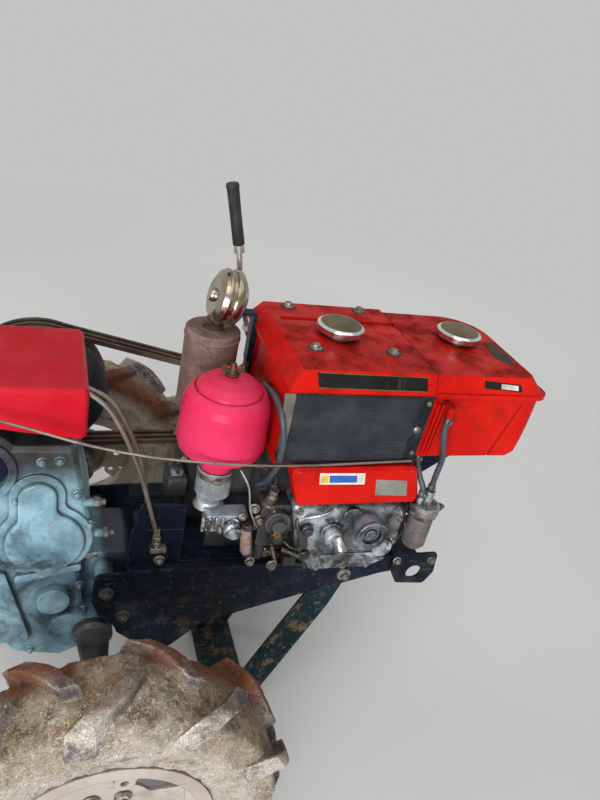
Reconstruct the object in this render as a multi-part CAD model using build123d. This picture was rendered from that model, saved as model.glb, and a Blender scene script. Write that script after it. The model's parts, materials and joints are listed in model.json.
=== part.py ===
from build123d import *
import os
from math import acos, atan2, cos, degrees, hypot, pi, sin

# A two-wheel walking tractor with a horizontal single-cylinder diesel engine.
# Millimetres. +X is forward, +Y the left side, +Z up, and Z 0 is the ground.
# Every place is given from the ground point under the axle. The finished pieces
# are moved together at the end, so that the origin is under the middle of the whole.

# Wheels
tyre_r = 310.0
tyre_w = 146.0
lug_h = 27.0
lugs = 10
lug_tip_w = 30.0
lug_root_w = 42.0
lug_sweep = 88.0
lug_turn = 15.0
track = 976.0
rim_seat_r = 152.0
rim_flange_r = 172.0
rim_w = 114.0
rim_t = 4.0
rim_drop = 22.0
disc_t = 6.0
disc_in = 18.0
disc_arms = 3
disc_arm_w = 92.0
disc_turn = 118.0
disc_hole_r = 9.0
disc_hole_pitch_r = 100.0
cage_ear_r = 17.0
cage_ear_pitch_r = 117.0
cage_ear_hole_r = 6.5
hub_r = 32.0
hub_len = 120.0
hub_flange_r = 66.0
hub_flange_t = 12.0
hub_bolt_r = 7.0
hub_bolt_pitch_r = 50.0
hub_bolts = 6
axle_r = 17.0
axle_gap = 0.05
axle_end_in = 4.0

# Gearbox case
case_half = 105.0
case_core_half = 70.0
case_round = 22.0
case_edge = 8.0
case_rear_x = -215.0
case_step_x = -30.0
case_front_x = 74.0
case_top_z = 752.0
case_shoulder_z = 640.0
case_belly_z = 325.0
case_low_z = 214.0
case_face_z = 520.0
main_shaft_x = -117.0
main_shaft_z = 672.0
cover_top = (main_shaft_x + 4.0, main_shaft_z - 22.0)
cover_top_r = 33.0
cover_low = (main_shaft_x + 19.0, main_shaft_z - 129.0)
cover_low_r = 71.0
cover_neck_r = 22.0
cover_t = 11.0
cover_pad_t = 6.0
cover_pad_w = 15.0
clutch_lobe = (-216.0, 704.0)
clutch_lobe_r = 78.0
clutch_ring_r = 68.0
clutch_ring_w = 14.0
clutch_ring_t = 6.0
drum_len = 24.0
drum_x = -45.0
drum_r = 44.0
housing_r = 29.0
housing_end_y = 236.0
housing_flange_r = 40.0
housing_flange_t = 14.0

# Engine: everything on it is placed from the crankshaft
crank_x = 500.0
crank_z = 610.0
block_x = (crank_x - 194.0, crank_x + 140.0)
block_half = 112.0
block_top_z = 748.0
foot_x = (crank_x - 184.0, crank_x + 120.0)
foot_h = 14.0
foot_half_w = 128.0
head_len = 138.0
head_half = 98.0
head_z = (498.0, 706.0)
head_step_y = -46.0
head_step_z = 598.0
rocker_t = 46.0
flywheel_r = 162.0
flywheel_y = (154.0, 204.0)
gear_case_y = -176.0
start_at = (crank_x + 20.0, crank_z + 5.0)
start_r = 30.0
start_len = 46.0
filler_at = (crank_x - 52.0, crank_z - 14.0)
filler_r = 17.0
pump_x = (crank_x - 200.0, crank_x - 134.0)
pump_z = (crank_z - 62.0, crank_z + 40.0)
pump_y = block_half + 46.0

# Frame rails
rail_y = 143.0
rail_t = 6.0
rail_flange = 44.0
rail_top_z = 480.0
rail_rear_x = 40.0
rail_front_x = crank_x + 200.0
rail_front_h = 34.0
rail_deep_x = 143.0
rail_deep_z = 253.0
cross_t = 8.0
tow_tongue = 60.0
shelf_y = 40.0

# Radiator hopper
hopper_x = (crank_x - 203.0, crank_x + 93.0)
hopper_y = (-165.0, 150.0)
hopper_wall_in = 6.0
hopper_base_z = 764.0
hopper_brim_z = 922.0
hopper_top_z = 956.0
brim_t = 8.0
lid_rear_in = 24.0
lid_side_in = 13.0
screen_t = 5.0
screen_rows = 14
screen_slot = 5.0
side_box_y = (-190.0, -151.0)
side_box_x = (crank_x - 173.0, crank_x + 94.0)
side_box_z = (671.0, 762.0)
side_box_lean = 30.0

# Fuel tank
tank_x = (crank_x + 96.0, crank_x + 365.0)
tank_y = (-166.0, 142.0)
tank_base_z = 768.0
tank_seam_z = 908.0
tank_seam_t = 10.0
tank_top_z = 953.0
tank_lip = 8.0
tank_far_r = 100.0
tank_near_r = 30.0
tank_cap_x = crank_x + 221.0
tank_cap_y = 7.0
radiator_cap_x = crank_x - 58.0
radiator_cap_y = -4.0
cap_r = 47.0
bracket_half = 84.0
bracket_t = 6.0

# Belt drive
belt_y = (224.0, 284.0)
clutch_r = 148.0
crank_pulley_r = 66.0
belts = 3
belt_pitch = 19.0
belt_w = 14.0
belt_t = 10.0
belt_proud = 2.0
groove_gap = 0.5

# Air cleaner, muffler and headlamp
cleaner_x = block_x[0] - 95.0
cleaner_y = -96.0
cleaner_r = 85.0
cleaner_z = (742.0, 912.0)
canister_r = 35.0
canister_base_z = 645.0
canister_top_z = 704.0
muffler_x = cleaner_x + 3.0
exhaust_y = 74.0
exhaust_r = 18.0
muffler_y = 96.0
muffler_r = 56.0
muffler_z = (730.0, 908.0)
lamp_x = muffler_x + 12.0
lamp_y = 100.0
lamp_z = 973.0
lamp_r = 59.0
lamp_lean = 12.0

# Handlebar
handle_r = 17.0
handle_root_x = -312.0
handle_bar_y = 92.0
handle_spread = 300.0
handle_end_x = -1318.0
handle_points = [
    (handle_root_x, handle_bar_y, 690), (-430, handle_bar_y + 8, 724), (-660, handle_spread - 64, 858),
    (-980, handle_spread - 8, 962), (handle_end_x, handle_spread, 1004)]
handle_bend_r = (150.0, 210.0, 260.0)
handle_base_x = -352.0
handle_base_z = 600.0
saddle_z = (650.0, 726.0)
grip_r = 21.0
grip_len = 130.0
clutch_lever_r = 6.0

# Main lever, from its pivot on the hopper
lever_r = 6.0
lever_y = 168.0
lever_x = hopper_x[0] + 13.0
lever_z = 872.0
lever_run = ((-31.0, 78.0), (-48.0, 174.0), (-84.0, 308.0))
lever_grip_r = 11.0

# Stand
stand_x = crank_x + 28.0
stand_z = 440.0
stand_foot_x = stand_x - 190.0
stand_y = 130.0
stand_t = 7.0
stand_w = 74.0
stand_eye_r = 26.0
stand_pin_r = 10.0
foot_x_len = 104.0
foot_t = 8.0
foot_half = 152.0

# Hitch and tow hole
hitch_x = -400.0
hitch_z = (330.0, 430.0)
hitch_t = 20.0
hitch_half = 55.0
hitch_pin_x = -372.0
hitch_pin_r = 12.5
tow_hole_r = 12.5

# Lever cover
console_x = (-322.0, -35.0)
console_half = 120.0
console_top_z = 880.0
console_base_z = 776.0
console_t = 4.0


def block(x, y, z):
    """A box between two values on each axis."""
    size = (x[1] - x[0], y[1] - y[0], z[1] - z[0])
    centre = ((x[0] + x[1]) / 2, (y[0] + y[1]) / 2, (z[0] + z[1]) / 2)
    return Pos(*centre) * Box(*size)


def slab(profile, y0, y1):
    """An X-Z profile as a solid between two places across the machine."""
    plane = Plane((0, y1, 0), x_dir=(1, 0, 0), z_dir=(0, -1, 0))
    return extrude(plane * profile, amount=y1 - y0)


def outline(points, radius=0.0):
    """A closed face through the points, its corners rounded."""
    face = make_face(Polyline(*points, close=True))
    if radius > 0:
        face = fillet(face.vertices(), radius)
    return face


def rod_y(x, z, r, y0, y1):
    return slab(Pos(x, z) * Circle(r), y0, y1)


def rod_z(x, y, r, z0, z1):
    return Pos(x, y, z0) * extrude(Circle(r), amount=z1 - z0)


def rod_x(y, z, r, x0, x1):
    plane = Plane((x0, y, z), x_dir=(0, 1, 0), z_dir=(1, 0, 0))
    return extrude(plane * Circle(r), amount=x1 - x0)


def turned(points, x, y):
    """A solid turned about the upright line through x, y from (radius, height) points."""
    face = Plane.XZ * make_face(Polyline(*points, close=True))
    return Pos(x, y, 0) * revolve(face, Axis.Z)


def turned_y(points, x, z):
    """A solid turned about the cross line through x, z from (radius, y) points."""
    face = Plane.XY * make_face(Polyline(*points, close=True))
    return Pos(x, 0, z) * revolve(face, Axis.Y)


def tube(points, radii, r):
    """A round bar along straight runs joined by tangent arcs."""
    path = FilletPolyline(*points, radius=radii)
    start = Plane(origin=path @ 0, z_dir=path % 0)
    return sweep(start * Circle(r), path)


def bar(start, end, r):
    """A straight round bar between two points."""
    way = Vector(*end) - Vector(*start)
    return extrude(Plane(origin=start, z_dir=way) * Circle(r), amount=way.length)


def both_sides(points):
    """Half of a turned section from (radius, height) points, with its mirror image."""
    return points + [(radius, -height) for radius, height in reversed(points)]


def mirrored(shape):
    return mirror(shape, about=Plane.XZ)


def cable_radii(points):
    """Each bend's radius is as large as its two runs allow."""
    radii = []
    for a, b, c in zip(points, points[1:], points[2:]):
        first = Vector(*b) - Vector(*a)
        second = Vector(*c) - Vector(*b)
        turn = first.get_angle(second)
        shorter = min(first.length, second.length)
        radii.append(0.45 * shorter / abs(sin(turn * pi / 360) / cos(turn * pi / 360)))
    return radii


# Wheels, modelled on the left side about their own axis

def wheel_place(shape):
    """From the wheel's own frame, with its axis on Z, to its place on the left."""
    return Pos(0, track / 2, tyre_r) * Rot(-90, 0, 0) * shape


def tyre():
    half = tyre_w / 2
    crown_r = tyre_r - lug_h
    side_r = (crown_r + rim_flange_r) / 2
    bead_half = rim_w / 2
    carcass = turned(both_sides([
        (rim_seat_r, bead_half), (rim_flange_r, bead_half), (side_r, half - 1),
        (crown_r - 8, half - 14), (crown_r, half * 0.35)]), 0, 0)
    # The lugs' tips lie on a crown, fall to the shoulder and run down the side.
    tips = turned(both_sides([
        (side_r + 4, half), (tyre_r - 11, half), (tyre_r, half - 24)]), 0, 0)
    lug = lug_bar(half) & tips
    other = mirror(lug, about=Plane.XY)
    bars = []
    for index in range(lugs):
        turn = lug_turn + 360.0 * index / lugs
        bars.append(Rot(0, 0, turn) * lug)
        bars.append(Rot(0, 0, turn + 180.0 / lugs) * other)
    return wheel_place(carcass + bars)


def lug_bar(half):
    """One lug before it is cut to the crown: its tip leads, its root trails down the side."""
    rows = (  # across the tread, ahead of the lug's middle, width
        (-7.0, lug_sweep / 2, lug_tip_w),
        (half * 0.5, lug_sweep * 0.1, (lug_tip_w + lug_root_w) / 2),
        (half + 2.0, -lug_sweep / 2, lug_root_w))
    points = [(ahead + width / 2, across) for across, ahead, width in rows]
    points += [(ahead - width / 2, across) for across, ahead, width in reversed(rows)]
    face = Plane.YZ.offset(tyre_r - lug_h - 50) * outline(points)
    return extrude(face, amount=lug_h + 52)


def rim():
    """The drop-centre band with a three-armed disc and ears for a cage wheel."""
    half = rim_w / 2
    seat = rim_seat_r
    well = seat - rim_drop
    band = turned([
        (rim_flange_r, half), (rim_flange_r, half + rim_t), (seat - rim_t, half + rim_t),
        (seat - rim_t, half - 22), (well, half - 34), (well, 34 - half),
        (seat - rim_t, 22 - half), (seat - rim_t, -half - rim_t), (rim_flange_r, -half - rim_t),
        (rim_flange_r, -half), (seat, -half), (seat, 24 - half), (well + rim_t, 37 - half),
        (well + rim_t, half - 37), (seat, half - 24), (seat, half)], 0, 0)
    disc = Circle(hub_flange_r + 14)
    step = 360.0 / disc_arms
    for index in range(disc_arms):
        disc += Rot(0, 0, step * index - disc_turn) * Pos(well / 2, 0) * Rectangle(well, disc_arm_w)
    disc = fillet([corner for corner in disc.vertices() if hypot(corner.X, corner.Y) < well - 20], 14)
    disc = disc & Circle(well)
    disc -= Circle(hub_r)
    ear = Pos(cage_ear_pitch_r, 0) * Circle(cage_ear_r)
    ear_out = seat - rim_t + 1
    ear += Pos((cage_ear_pitch_r + ear_out) / 2, 0) * Rectangle(ear_out - cage_ear_pitch_r, 2 * cage_ear_r)
    ear -= Pos(cage_ear_pitch_r, 0) * Circle(cage_ear_hole_r)
    ears = []
    for index in range(disc_arms):
        turn = step * index - disc_turn
        disc -= Rot(0, 0, turn) * Pos(disc_hole_pitch_r, 0) * Circle(disc_hole_r)
        ears.append(Pos(0, 0, half - 14) * Rot(0, 0, turn + 38) * extrude(ear, amount=disc_t))
    plate = Pos(0, 0, disc_in) * extrude(disc, amount=disc_t)
    head = Pos(hub_bolt_pitch_r, 0, disc_in + disc_t) * extrude(RegularPolygon(hub_bolt_r * 1.6, 6), amount=9)
    heads = [Rot(0, 0, 360.0 * index / hub_bolts) * head for index in range(hub_bolts)]
    return wheel_place(band + ([plate] + heads + ears))


def hub():
    """The axle shaft with its sleeve and the flange that the wheel's disc bolts to."""
    outer = disc_in + disc_t + 22
    sleeve = Pos(0, 0, outer - hub_len) * extrude(Circle(hub_r), amount=hub_len)
    flange = Pos(0, 0, disc_in - hub_flange_t) * extrude(Circle(hub_flange_r), amount=hub_flange_t)
    body = sleeve + flange
    shaft = rod_y(0, tyre_r, axle_r, case_half + 6, track / 2 + outer + axle_end_in)
    return wheel_place(body) + shaft


# Gearbox

def case_body():
    """The casting's main forms: two halves, a narrower nose between the rails and the rear lobe."""
    low = case_low_z
    step = case_step_x
    side = outline([
        (case_rear_x, case_belly_z), (case_rear_x, case_shoulder_z), (case_rear_x + 26, case_top_z),
        (step - 22, case_top_z), (step, case_shoulder_z), (step + 18, case_face_z + 43),
        (step + 18, case_face_z - 20), (step - 4, rail_top_z - 12), (step + 10, case_belly_z + 25),
        (step + 20, low + 26), (step - 30, low), (-150, low + 22)], 12)
    body = slab(side, -case_half, case_half)
    body += rod_y(*clutch_lobe, clutch_lobe_r, -case_half, case_half)
    ends = body.faces().sort_by(Axis.Y)
    body = chamfer(ends[0].edges() + ends[-1].edges(), case_edge)
    nose = outline([
        (step - 30, rail_top_z - 10), (case_front_x, rail_top_z - 10), (case_front_x, case_belly_z),
        (case_front_x - 38, low + 12), (step - 30, low)], case_round)
    return body + slab(nose, -case_core_half, case_core_half)


def gearbox_case():
    case = case_body()
    right = -case_half
    case += slab(Pos(main_shaft_x, main_shaft_z) * Circle(clutch_r * 0.55), case_half - 1, case_half + 50)
    case += slab(keyhole(cover_pad_w), right - cover_pad_t, right + 1)
    case += rod_y(*clutch_lobe, clutch_ring_r, right - clutch_ring_t, right + 1)
    case -= rod_y(*clutch_lobe, clutch_ring_r - clutch_ring_w, right - clutch_ring_t - 1, right + 16)
    case += rod_y(*clutch_lobe, 24, right - 2, right + 17)
    ledge = outline([(-150, 444), (-30, 470), (-30, 486), (-150, 462)], 5)
    case += slab(ledge, right - 12, right + 9) - slab(keyhole(0), right - 14, right - cover_pad_t)
    case += rod_y(-79, 397, 31, right - 22, right + 1)
    rear_pad = outline([(-198, 282), (-120, 286), (-168, 470), (-198, 478)], 7)
    case += slab(rear_pad, right - 12, right + 1)
    for x, z in case_studs:
        case += rod_x(right + 9, z, 8, x - 50, x)
    drum = Pos(0, tyre_r) * Circle(housing_flange_r) + Pos(drum_x, tyre_r + 8) * Circle(drum_r)
    for side in (-1, 1):
        case += slab(drum, *sorted((side * (case_core_half - 1), side * (case_half + drum_len))))
        for x, z in rail_bolts:
            case += rod_y(x, z, 19, *sorted((side * (case_core_half - 1), side * (rail_y - rail_t))))
    return case - rod_y(0, tyre_r, axle_r + axle_gap, -case_half - drum_len - 1, case_half + drum_len + 1)


def keyhole(grow):
    """The outline of the side cover over the main and middle shafts."""
    low_x, low_z = cover_low
    r = cover_low_r + grow
    fall = cover_top[1] - low_z
    neck = Pos(cover_top[0], (cover_top[1] + low_z) / 2) * Rot(0, 0, 90)
    face = neck * SlotCenterToCenter(fall, 2 * (cover_top_r + grow)) + Pos(low_x, low_z) * Circle(r)
    on_low = [abs(hypot(corner.X - low_x, corner.Y - low_z) - r) < 0.01 for corner in face.vertices()]
    corners = [corner for corner, chosen in zip(face.vertices(), on_low) if chosen]
    return fillet(corners, cover_neck_r)


def gear_cover():
    seat = -case_half - cover_pad_t
    plate = slab(keyhole(0), seat - cover_t, seat)
    return fillet(plate.faces().sort_by(Axis.Y)[0].edges(), 5)


def axle_housing():
    """The left housing that carries the axle out of the case."""
    r = housing_r
    inner = case_half + drum_len
    bore = axle_r + axle_gap
    return turned_y([
        (bore, inner), (housing_flange_r, inner), (housing_flange_r, inner + housing_flange_t),
        (r + 4, inner + housing_flange_t + 8), (r - 4, housing_end_y - 20), (r - 4, housing_end_y),
        (bore, housing_end_y)], 0, tyre_r)


# Frame

tow_x = rail_front_x + 32.0
rail_bolts = ((54.0, 373.0), (18.0, 438.0))
case_studs = ((-1.0, 622.0), (20.0, 546.0), (-8.0, 492.0))


def rail():
    """The left rail: a plate web, deep beside the gearbox, with a flange turned in on top."""
    low = rail_top_z - rail_front_h
    deep = rail_deep_z
    points = [
        (rail_rear_x - 44, rail_top_z - 4), (rail_rear_x + 30, rail_top_z), (rail_front_x, rail_top_z),
        (rail_front_x, low), (rail_front_x - 82, low - 14), (rail_deep_x + 222, deep + 111),
        (rail_deep_x + 79, deep + 67), (rail_deep_x + 20, deep + 6), (rail_deep_x - 20, deep),
        (rail_deep_x - 66, deep + 35), (rail_rear_x - 20, deep + 87), (rail_rear_x - 50, rail_top_z - 70)]
    web = slab(outline(points, 12), rail_y - rail_t, rail_y)
    inner = (rail_y - rail_flange, rail_y)
    body = web + block((rail_rear_x + 42, rail_front_x), inner, (rail_top_z - rail_t, rail_top_z))
    for x, z in rail_bolts:
        body += rod_y(x, z, 15, rail_y, rail_y + 10)
    body -= rod_y(stand_x, stand_z, stand_pin_r, rail_y - rail_t - 1, rail_y + 1)
    body -= rod_y(0, tyre_r, housing_flange_r + 6, rail_y - rail_t - 1, rail_y + 1)
    return body


def front_plate():
    """The cross member at the front with its tow tongue and the side brackets under it."""
    low = rail_top_z - rail_front_h
    inner = rail_y - rail_t
    face_x = (rail_front_x - cross_t, rail_front_x)
    middle = rail_y - rail_flange
    plate = block(face_x, (-inner, inner), (low, rail_top_z - rail_t))
    plate += block(face_x, (-middle, middle), (low, rail_top_z))
    cap_z = (rail_top_z, rail_top_z + cross_t)
    plate += block((rail_front_x - 60, rail_front_x), (-rail_y - rail_t, rail_y + rail_t), cap_z)
    plate += Pos(rail_front_x, 0, rail_top_z) * extrude(SlotOverall(2 * tow_tongue, 70), amount=cross_t)
    plate -= rod_z(tow_x, 0, tow_hole_r, rail_top_z - 1, rail_top_z + cross_t + 1)
    front = rail_front_x
    bracket = outline([
        (front - 60, rail_top_z + cross_t), (front - 60, 448), (front - 34, 404), (front + 40, 396),
        (front + 58, 430), (front + 52, rail_top_z + cross_t)], 10)
    bracket -= Pos(front + 4, 434) * Circle(19)
    for side in (-1, 1):
        plate += slab(bracket, *sorted((side * rail_y, side * (rail_y + rail_t))))
    return plate


def shield_plate():
    """The plate that holds the cables' ends, on a shelf between the gearbox and the engine."""
    top = rail_top_z + 150
    points = [(58, rail_top_z), (160, rail_top_z), (160, top), (74, top + 4), (58, rail_top_z + 80)]
    outer = -case_half - 18
    plate = slab(outline(points), outer, outer + 5)
    plate += block((84, foot_x[0] - 6), (outer, shelf_y), (rail_top_z, rail_top_z + 5))
    return plate


def hitch():
    """The drawbar box behind the gearbox, with its pin hole."""
    low, high = hitch_z
    half = hitch_half
    rear = (hitch_x, case_rear_x)
    body = block(rear, (-half, half), (low, low + hitch_t))
    body += block(rear, (-half, half), (high - hitch_t, high))
    for side in (-1, 1):
        cheek = sorted((side * half, side * (half - 12)))
        body += block((hitch_x + 40, case_rear_x), cheek, (low + 1, high - 1))
    body += block((case_rear_x - 12, case_rear_x), (-half - 20, half + 20), (low - 4, high + 10))
    body -= rod_z(hitch_pin_x, 0, hitch_pin_r, low - 1, high + 1)
    return body


# Engine

def engine_block():
    body = block(block_x, (-block_half, block_half), (rail_top_z + foot_h, block_top_z))
    body = fillet(body.edges().filter_by(Axis.Z), 18)
    body += block(foot_x, (-foot_half_w, foot_half_w), (rail_top_z, rail_top_z + foot_h))
    body += rod_y(crank_x, crank_z, 84, block_half - 1, flywheel_y[0] - 14)
    return body - slab(gear_outline(), gear_case_y, -block_half)


def cylinder_head():
    x0 = block_x[0] - head_len
    face_x = x0 + rocker_t
    head = block((face_x, block_x[0]), (head_step_y, head_half), head_z)
    head = fillet(head.edges().filter_by(Axis.X), 10)
    head += block((face_x, block_x[0]), (-head_half, head_step_y + 20), (head_z[0], head_step_z))
    cover = block((x0, face_x), (head_step_y + 8, head_half - 16), (head_z[0] + 18, head_z[1] - 22))
    cover = fillet(cover.edges().filter_by(Axis.X), 18)
    cover = chamfer(cover.faces().sort_by(Axis.X)[0].edges(), 6)
    lifter = block((x0 - 36, x0 + 1), (head_step_y - 12, 6), (head_step_z - 6, head_step_z + 48))
    lifter = fillet(lifter.edges().filter_by(Axis.X), 12)
    return head + cover + lifter


def gear_outline():
    """The timing gear case from the side: round at the bottom, leaning at the rear."""
    points = [
        (-145, 52), (-108, -90), (-70, -127), (62, -128), (97, -111), (115, -60), (114, 24), (96, 50)]
    return outline([(crank_x + x, crank_z + z) for x, z in points], 14)


def gear_case():
    face = gear_case_y
    case = slab(gear_outline(), face, -block_half)
    case = chamfer(case.faces().sort_by(Axis.Y)[0].edges(), 8)
    end = face - start_len
    case += rod_y(*start_at, start_r - 3, end, face + 1)
    case += rod_y(*start_at, start_r + 3, end, end + 9)
    case -= rod_y(*start_at, start_r - 9, end - 1, end + 14)
    case += rod_y(*start_at, 12, end + 4, end + 15)
    case += rod_y(*filler_at, filler_r, face - 34, face + 1)
    case += rod_y(*filler_at, filler_r + 5, face - 8, face + 1)
    case += rod_y(crank_x - 14, crank_z + 26, 20, face - 8, face + 1)
    case += rod_y(crank_x + 76, crank_z - 62, 22, face - 10, face + 1)
    rib = outline([(crank_x - 60, crank_z - 84), (crank_x + 60, crank_z - 84), (crank_x + 60, crank_z - 76),
                   (crank_x - 60, crank_z - 76)])
    return case + slab(rib, face - 6, face + 1)


def injection_pump():
    """The pump on the block's right side, with its plunger, delivery union and control rod."""
    x0, x1 = pump_x
    z0, z1 = pump_z
    body = block((x0, x1), (-pump_y, -block_half), (z0, z1))
    body = fillet(body.edges().filter_by(Axis.Y), 12)
    body += rod_y(x1 - 34, z1 - 32, 26, -pump_y - 18, 1 - pump_y)
    body += rod_y(x1 - 34, z1 - 32, 14, -pump_y - 30, -pump_y - 17)
    body += rod_z(x0 + 14, 16 - pump_y, 13, z0 - 38, z0 + 13)
    body += bar((x0 - 22, 8 - pump_y, z0 + 54), (x0 - 8, 8 - pump_y, z0 - 28), 11.5)
    body += block((x0 - 26, x0 + 6), (4 - pump_y, 12 - pump_y), (z0 + 38, z0 + 52))
    return body - slab(gear_outline(), gear_case_y, -block_half)


def flywheel():
    y0, y1 = flywheel_y
    r = flywheel_r
    points = [
        (0, y0), (r, y0), (r, y1), (r - 26, y1),
        (r - 30, y1 - 22), (70, y1 - 22), (58, y1), (0, y1)]
    wheel = turned_y(points, crank_x, crank_z)
    snout = rod_y(crank_x, crank_z, 50, flywheel_y[0] - 14, flywheel_y[0] + 1)
    return wheel + snout + turned_y(pulley(crank_pulley_r, flywheel_y[1] - 1, 34), crank_x, crank_z)


def pulley(r, inner_y, hub):
    """A grooved pulley turned about its shaft, from the hub's inner end out."""
    y0, y1 = belt_y
    points = [(0, inner_y), (hub, inner_y), (hub, y0), (r, y0)]
    margin = (y1 - y0 - (belts - 1) * belt_pitch) / 2
    deep = belt_t - belt_proud + 1.5
    top = belt_w / 2 + groove_gap
    for index in range(belts):
        middle = y0 + margin + index * belt_pitch
        low = (r - deep, middle - top + 3)
        high = (r - deep, middle + top - 3)
        points += [(r, middle - top), low, high, (r, middle + top)]
    points += [(r, y1), (hub + 12, y1), (hub + 8, y1 - 14), (0, y1 - 14)]
    return points


def clutch_pulley():
    return turned_y(pulley(clutch_r, case_half + 50, 40), main_shaft_x, main_shaft_z)


def belt_loop(grow):
    """The outline round both pulleys, at a distance from their rims."""
    span = hypot(crank_x - main_shaft_x, crank_z - main_shaft_z)
    tilt = atan2(crank_z - main_shaft_z, crank_x - main_shaft_x)
    lean = acos((clutch_r - crank_pulley_r) / span)
    ends = []
    for x, z, r in ((main_shaft_x, main_shaft_z, clutch_r + grow), (crank_x, crank_z, crank_pulley_r + grow)):
        for sign in (1, -1):
            angle = tilt + sign * lean
            ends.append((x + r * cos(angle), z + r * sin(angle)))
    back = clutch_r + grow
    front = crank_pulley_r + grow
    far = (main_shaft_x - back * cos(tilt), main_shaft_z - back * sin(tilt))
    near = (crank_x + front * cos(tilt), crank_z + front * sin(tilt))
    with BuildLine() as loop:
        Line(ends[0], ends[2])
        ThreePointArc(ends[2], near, ends[3])
        Line(ends[3], ends[1])
        ThreePointArc(ends[1], far, ends[0])
    return make_face(loop.line)


def v_belts():
    face = belt_loop(belt_proud) - belt_loop(belt_proud - belt_t)
    margin = (belt_y[1] - belt_y[0] - (belts - 1) * belt_pitch) / 2
    loops = []
    for index in range(belts):
        middle = belt_y[0] + margin + index * belt_pitch
        loops.append(slab(face, middle - belt_w / 2 + 3, middle + belt_w / 2 - 3))
    return loops


# Radiator hopper and tank

def hopper():
    """The radiator's tank: red behind, open to the screen on the right."""
    x0, x1 = hopper_x
    y0, y1 = hopper_y
    return block((x0 + hopper_wall_in, x1 - 2), (y0 + 14, y1 - 6), (block_top_z, hopper_brim_z - brim_t))


def hopper_cover():
    x0, x1 = hopper_x
    y0 = hopper_y[0] - screen_t
    y1 = hopper_y[1]
    side = lid_side_in
    brim = block((x0, x1), (y0, y1), (hopper_brim_z - brim_t, hopper_brim_z))
    top_x = (x0 + lid_rear_in, x1 - 2)
    low = Plane.XY.offset(hopper_brim_z) * Pos((x0 + x1) / 2, (y0 + y1) / 2) * Rectangle(x1 - x0, y1 - y0)
    high = Pos((top_x[0] + top_x[1]) / 2, (y0 + y1) / 2) * Rectangle(top_x[1] - top_x[0], y1 - y0 - 2 * side)
    high = Plane.XY.offset(hopper_top_z) * high
    cover = brim + loft([low.face(), high.face()])
    channel = block((x0 + 40, x1 + 2), (50, 66), (hopper_top_z - 4, hopper_top_z + 2))
    return cover - channel


def screen():
    """The grille in front of the radiator core, with a plain plate at its front end."""
    x0, x1 = hopper_x
    y0 = hopper_y[0]
    z0 = hopper_base_z
    z1 = hopper_brim_z - brim_t
    grille = block((x0 + 4, x1 - 6), (y0 - screen_t, y0), (z0, z1))
    pitch = (z1 - z0 - 16) / screen_rows
    slots = []
    for row in range(screen_rows):
        z = z0 + 10 + row * pitch
        end = x1 - 34 - 10.0 * row / screen_rows
        slots.append(block((x0 + 16, end), (y0 - screen_t - 1, y0 - 2), (z, z + screen_slot)))
    return grille - slots


def radiator_side():
    x0, x1 = hopper_x
    y0 = hopper_y[0]
    return block((x0 + hopper_wall_in, x1 - 4), (y0, y0 + 14), (hopper_base_z, hopper_brim_z - brim_t))


def side_box():
    x0, x1 = side_box_x
    z0, z1 = side_box_z
    lean = side_box_lean
    body = slab(outline([(x0, z1), (x1, z1), (x1 + lean, z0), (x0 + lean, z0)], 14), *side_box_y)
    body = chamfer(body.faces().sort_by(Axis.Y)[0].edges(), 6)
    back = block((x0 + 40, x1 - 16), (side_box_y[1], -block_half), (z0 + 8, block_top_z - 4))
    return body + back


def round_cap(x, y, z, r):
    points = [(0, z), (r * 0.72, z), (r * 0.72, z + 8), (r, z + 9), (r, z + 20), (r - 6, z + 24), (0, z + 26)]
    return turned(points, x, y)


def tank_plan(z, margin, front_x, near_r, far_r):
    """The tank's outline from above at a height, its two front corners rounded."""
    x0 = tank_x[0]
    y0, y1 = tank_y[0] + margin, tank_y[1] - margin
    face = Plane.XY.offset(z) * Pos((x0 + front_x) / 2, (y0 + y1) / 2) * Rectangle(front_x - x0, y1 - y0)
    near, far = face.vertices().group_by(Axis.X)[-1].sort_by(Axis.Y)
    face = fillet(far, far_r)
    near = face.vertices().group_by(Axis.Y)[0].sort_by(Axis.X)[-1]
    return fillet(near, near_r)


def fuel_tank():
    x0, x1 = tank_x
    lip = tank_lip
    seam_top = tank_seam_z + tank_seam_t
    profile = outline([
        (x0, tank_base_z), (x1 - 50, tank_base_z), (x1 - 32, tank_base_z + 12), (x1 - lip, tank_seam_z + 1),
        (x0, tank_seam_z + 1)])
    walls = extrude(tank_plan(tank_base_z, lip, x1 - lip, tank_near_r, tank_far_r), amount=160)
    body = slab(profile, *tank_y) & walls
    body += extrude(tank_plan(tank_seam_z, 0, x1, tank_near_r, tank_far_r), amount=tank_seam_t)
    low = tank_plan(seam_top, 4, x1 - lip, tank_near_r, tank_far_r)
    high = tank_plan(tank_top_z, lid_side_in, x1 - 44, tank_near_r - 12, tank_far_r - 12)
    body += loft([low.face(), high.face()])
    top = tank_seam_z - 15
    groove = outline([(x1 - 60, top), (x1 - 55, top), (x1 - 92, tank_base_z), (x1 - 97, tank_base_z)])
    body -= slab(groove, tank_y[0] + lip - 1, tank_y[0] + lip + 3)
    outlet_x = x0 + 32
    outlet_z = tank_seam_z - 16
    body += rod_y(outlet_x, outlet_z, 9, filter_y - 6, tank_y[0] + lip + 4)
    return body + rod_z(outlet_x, filter_y, 7, outlet_z - 14, outlet_z)


def tank_bracket():
    """The shelf that carries the tank on the front of the block."""
    x0 = tank_x[0] + 6
    x1 = block_x[1]
    half = bracket_half
    top = tank_base_z
    shelf = block((x0, x1 + 160), (-half, half), (top - bracket_t, top))
    shelf += block((x0, x1), (-half, half), (block_top_z, top - bracket_t + 1))
    gusset = outline([(x1, top - 130), (x1, top - 3), (x1 + 150, top - 3), (x1 + 150, top - 12)])
    for y in (-half, half - bracket_t):
        shelf += slab(gusset, y, y + bracket_t)
    return shelf


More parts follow.
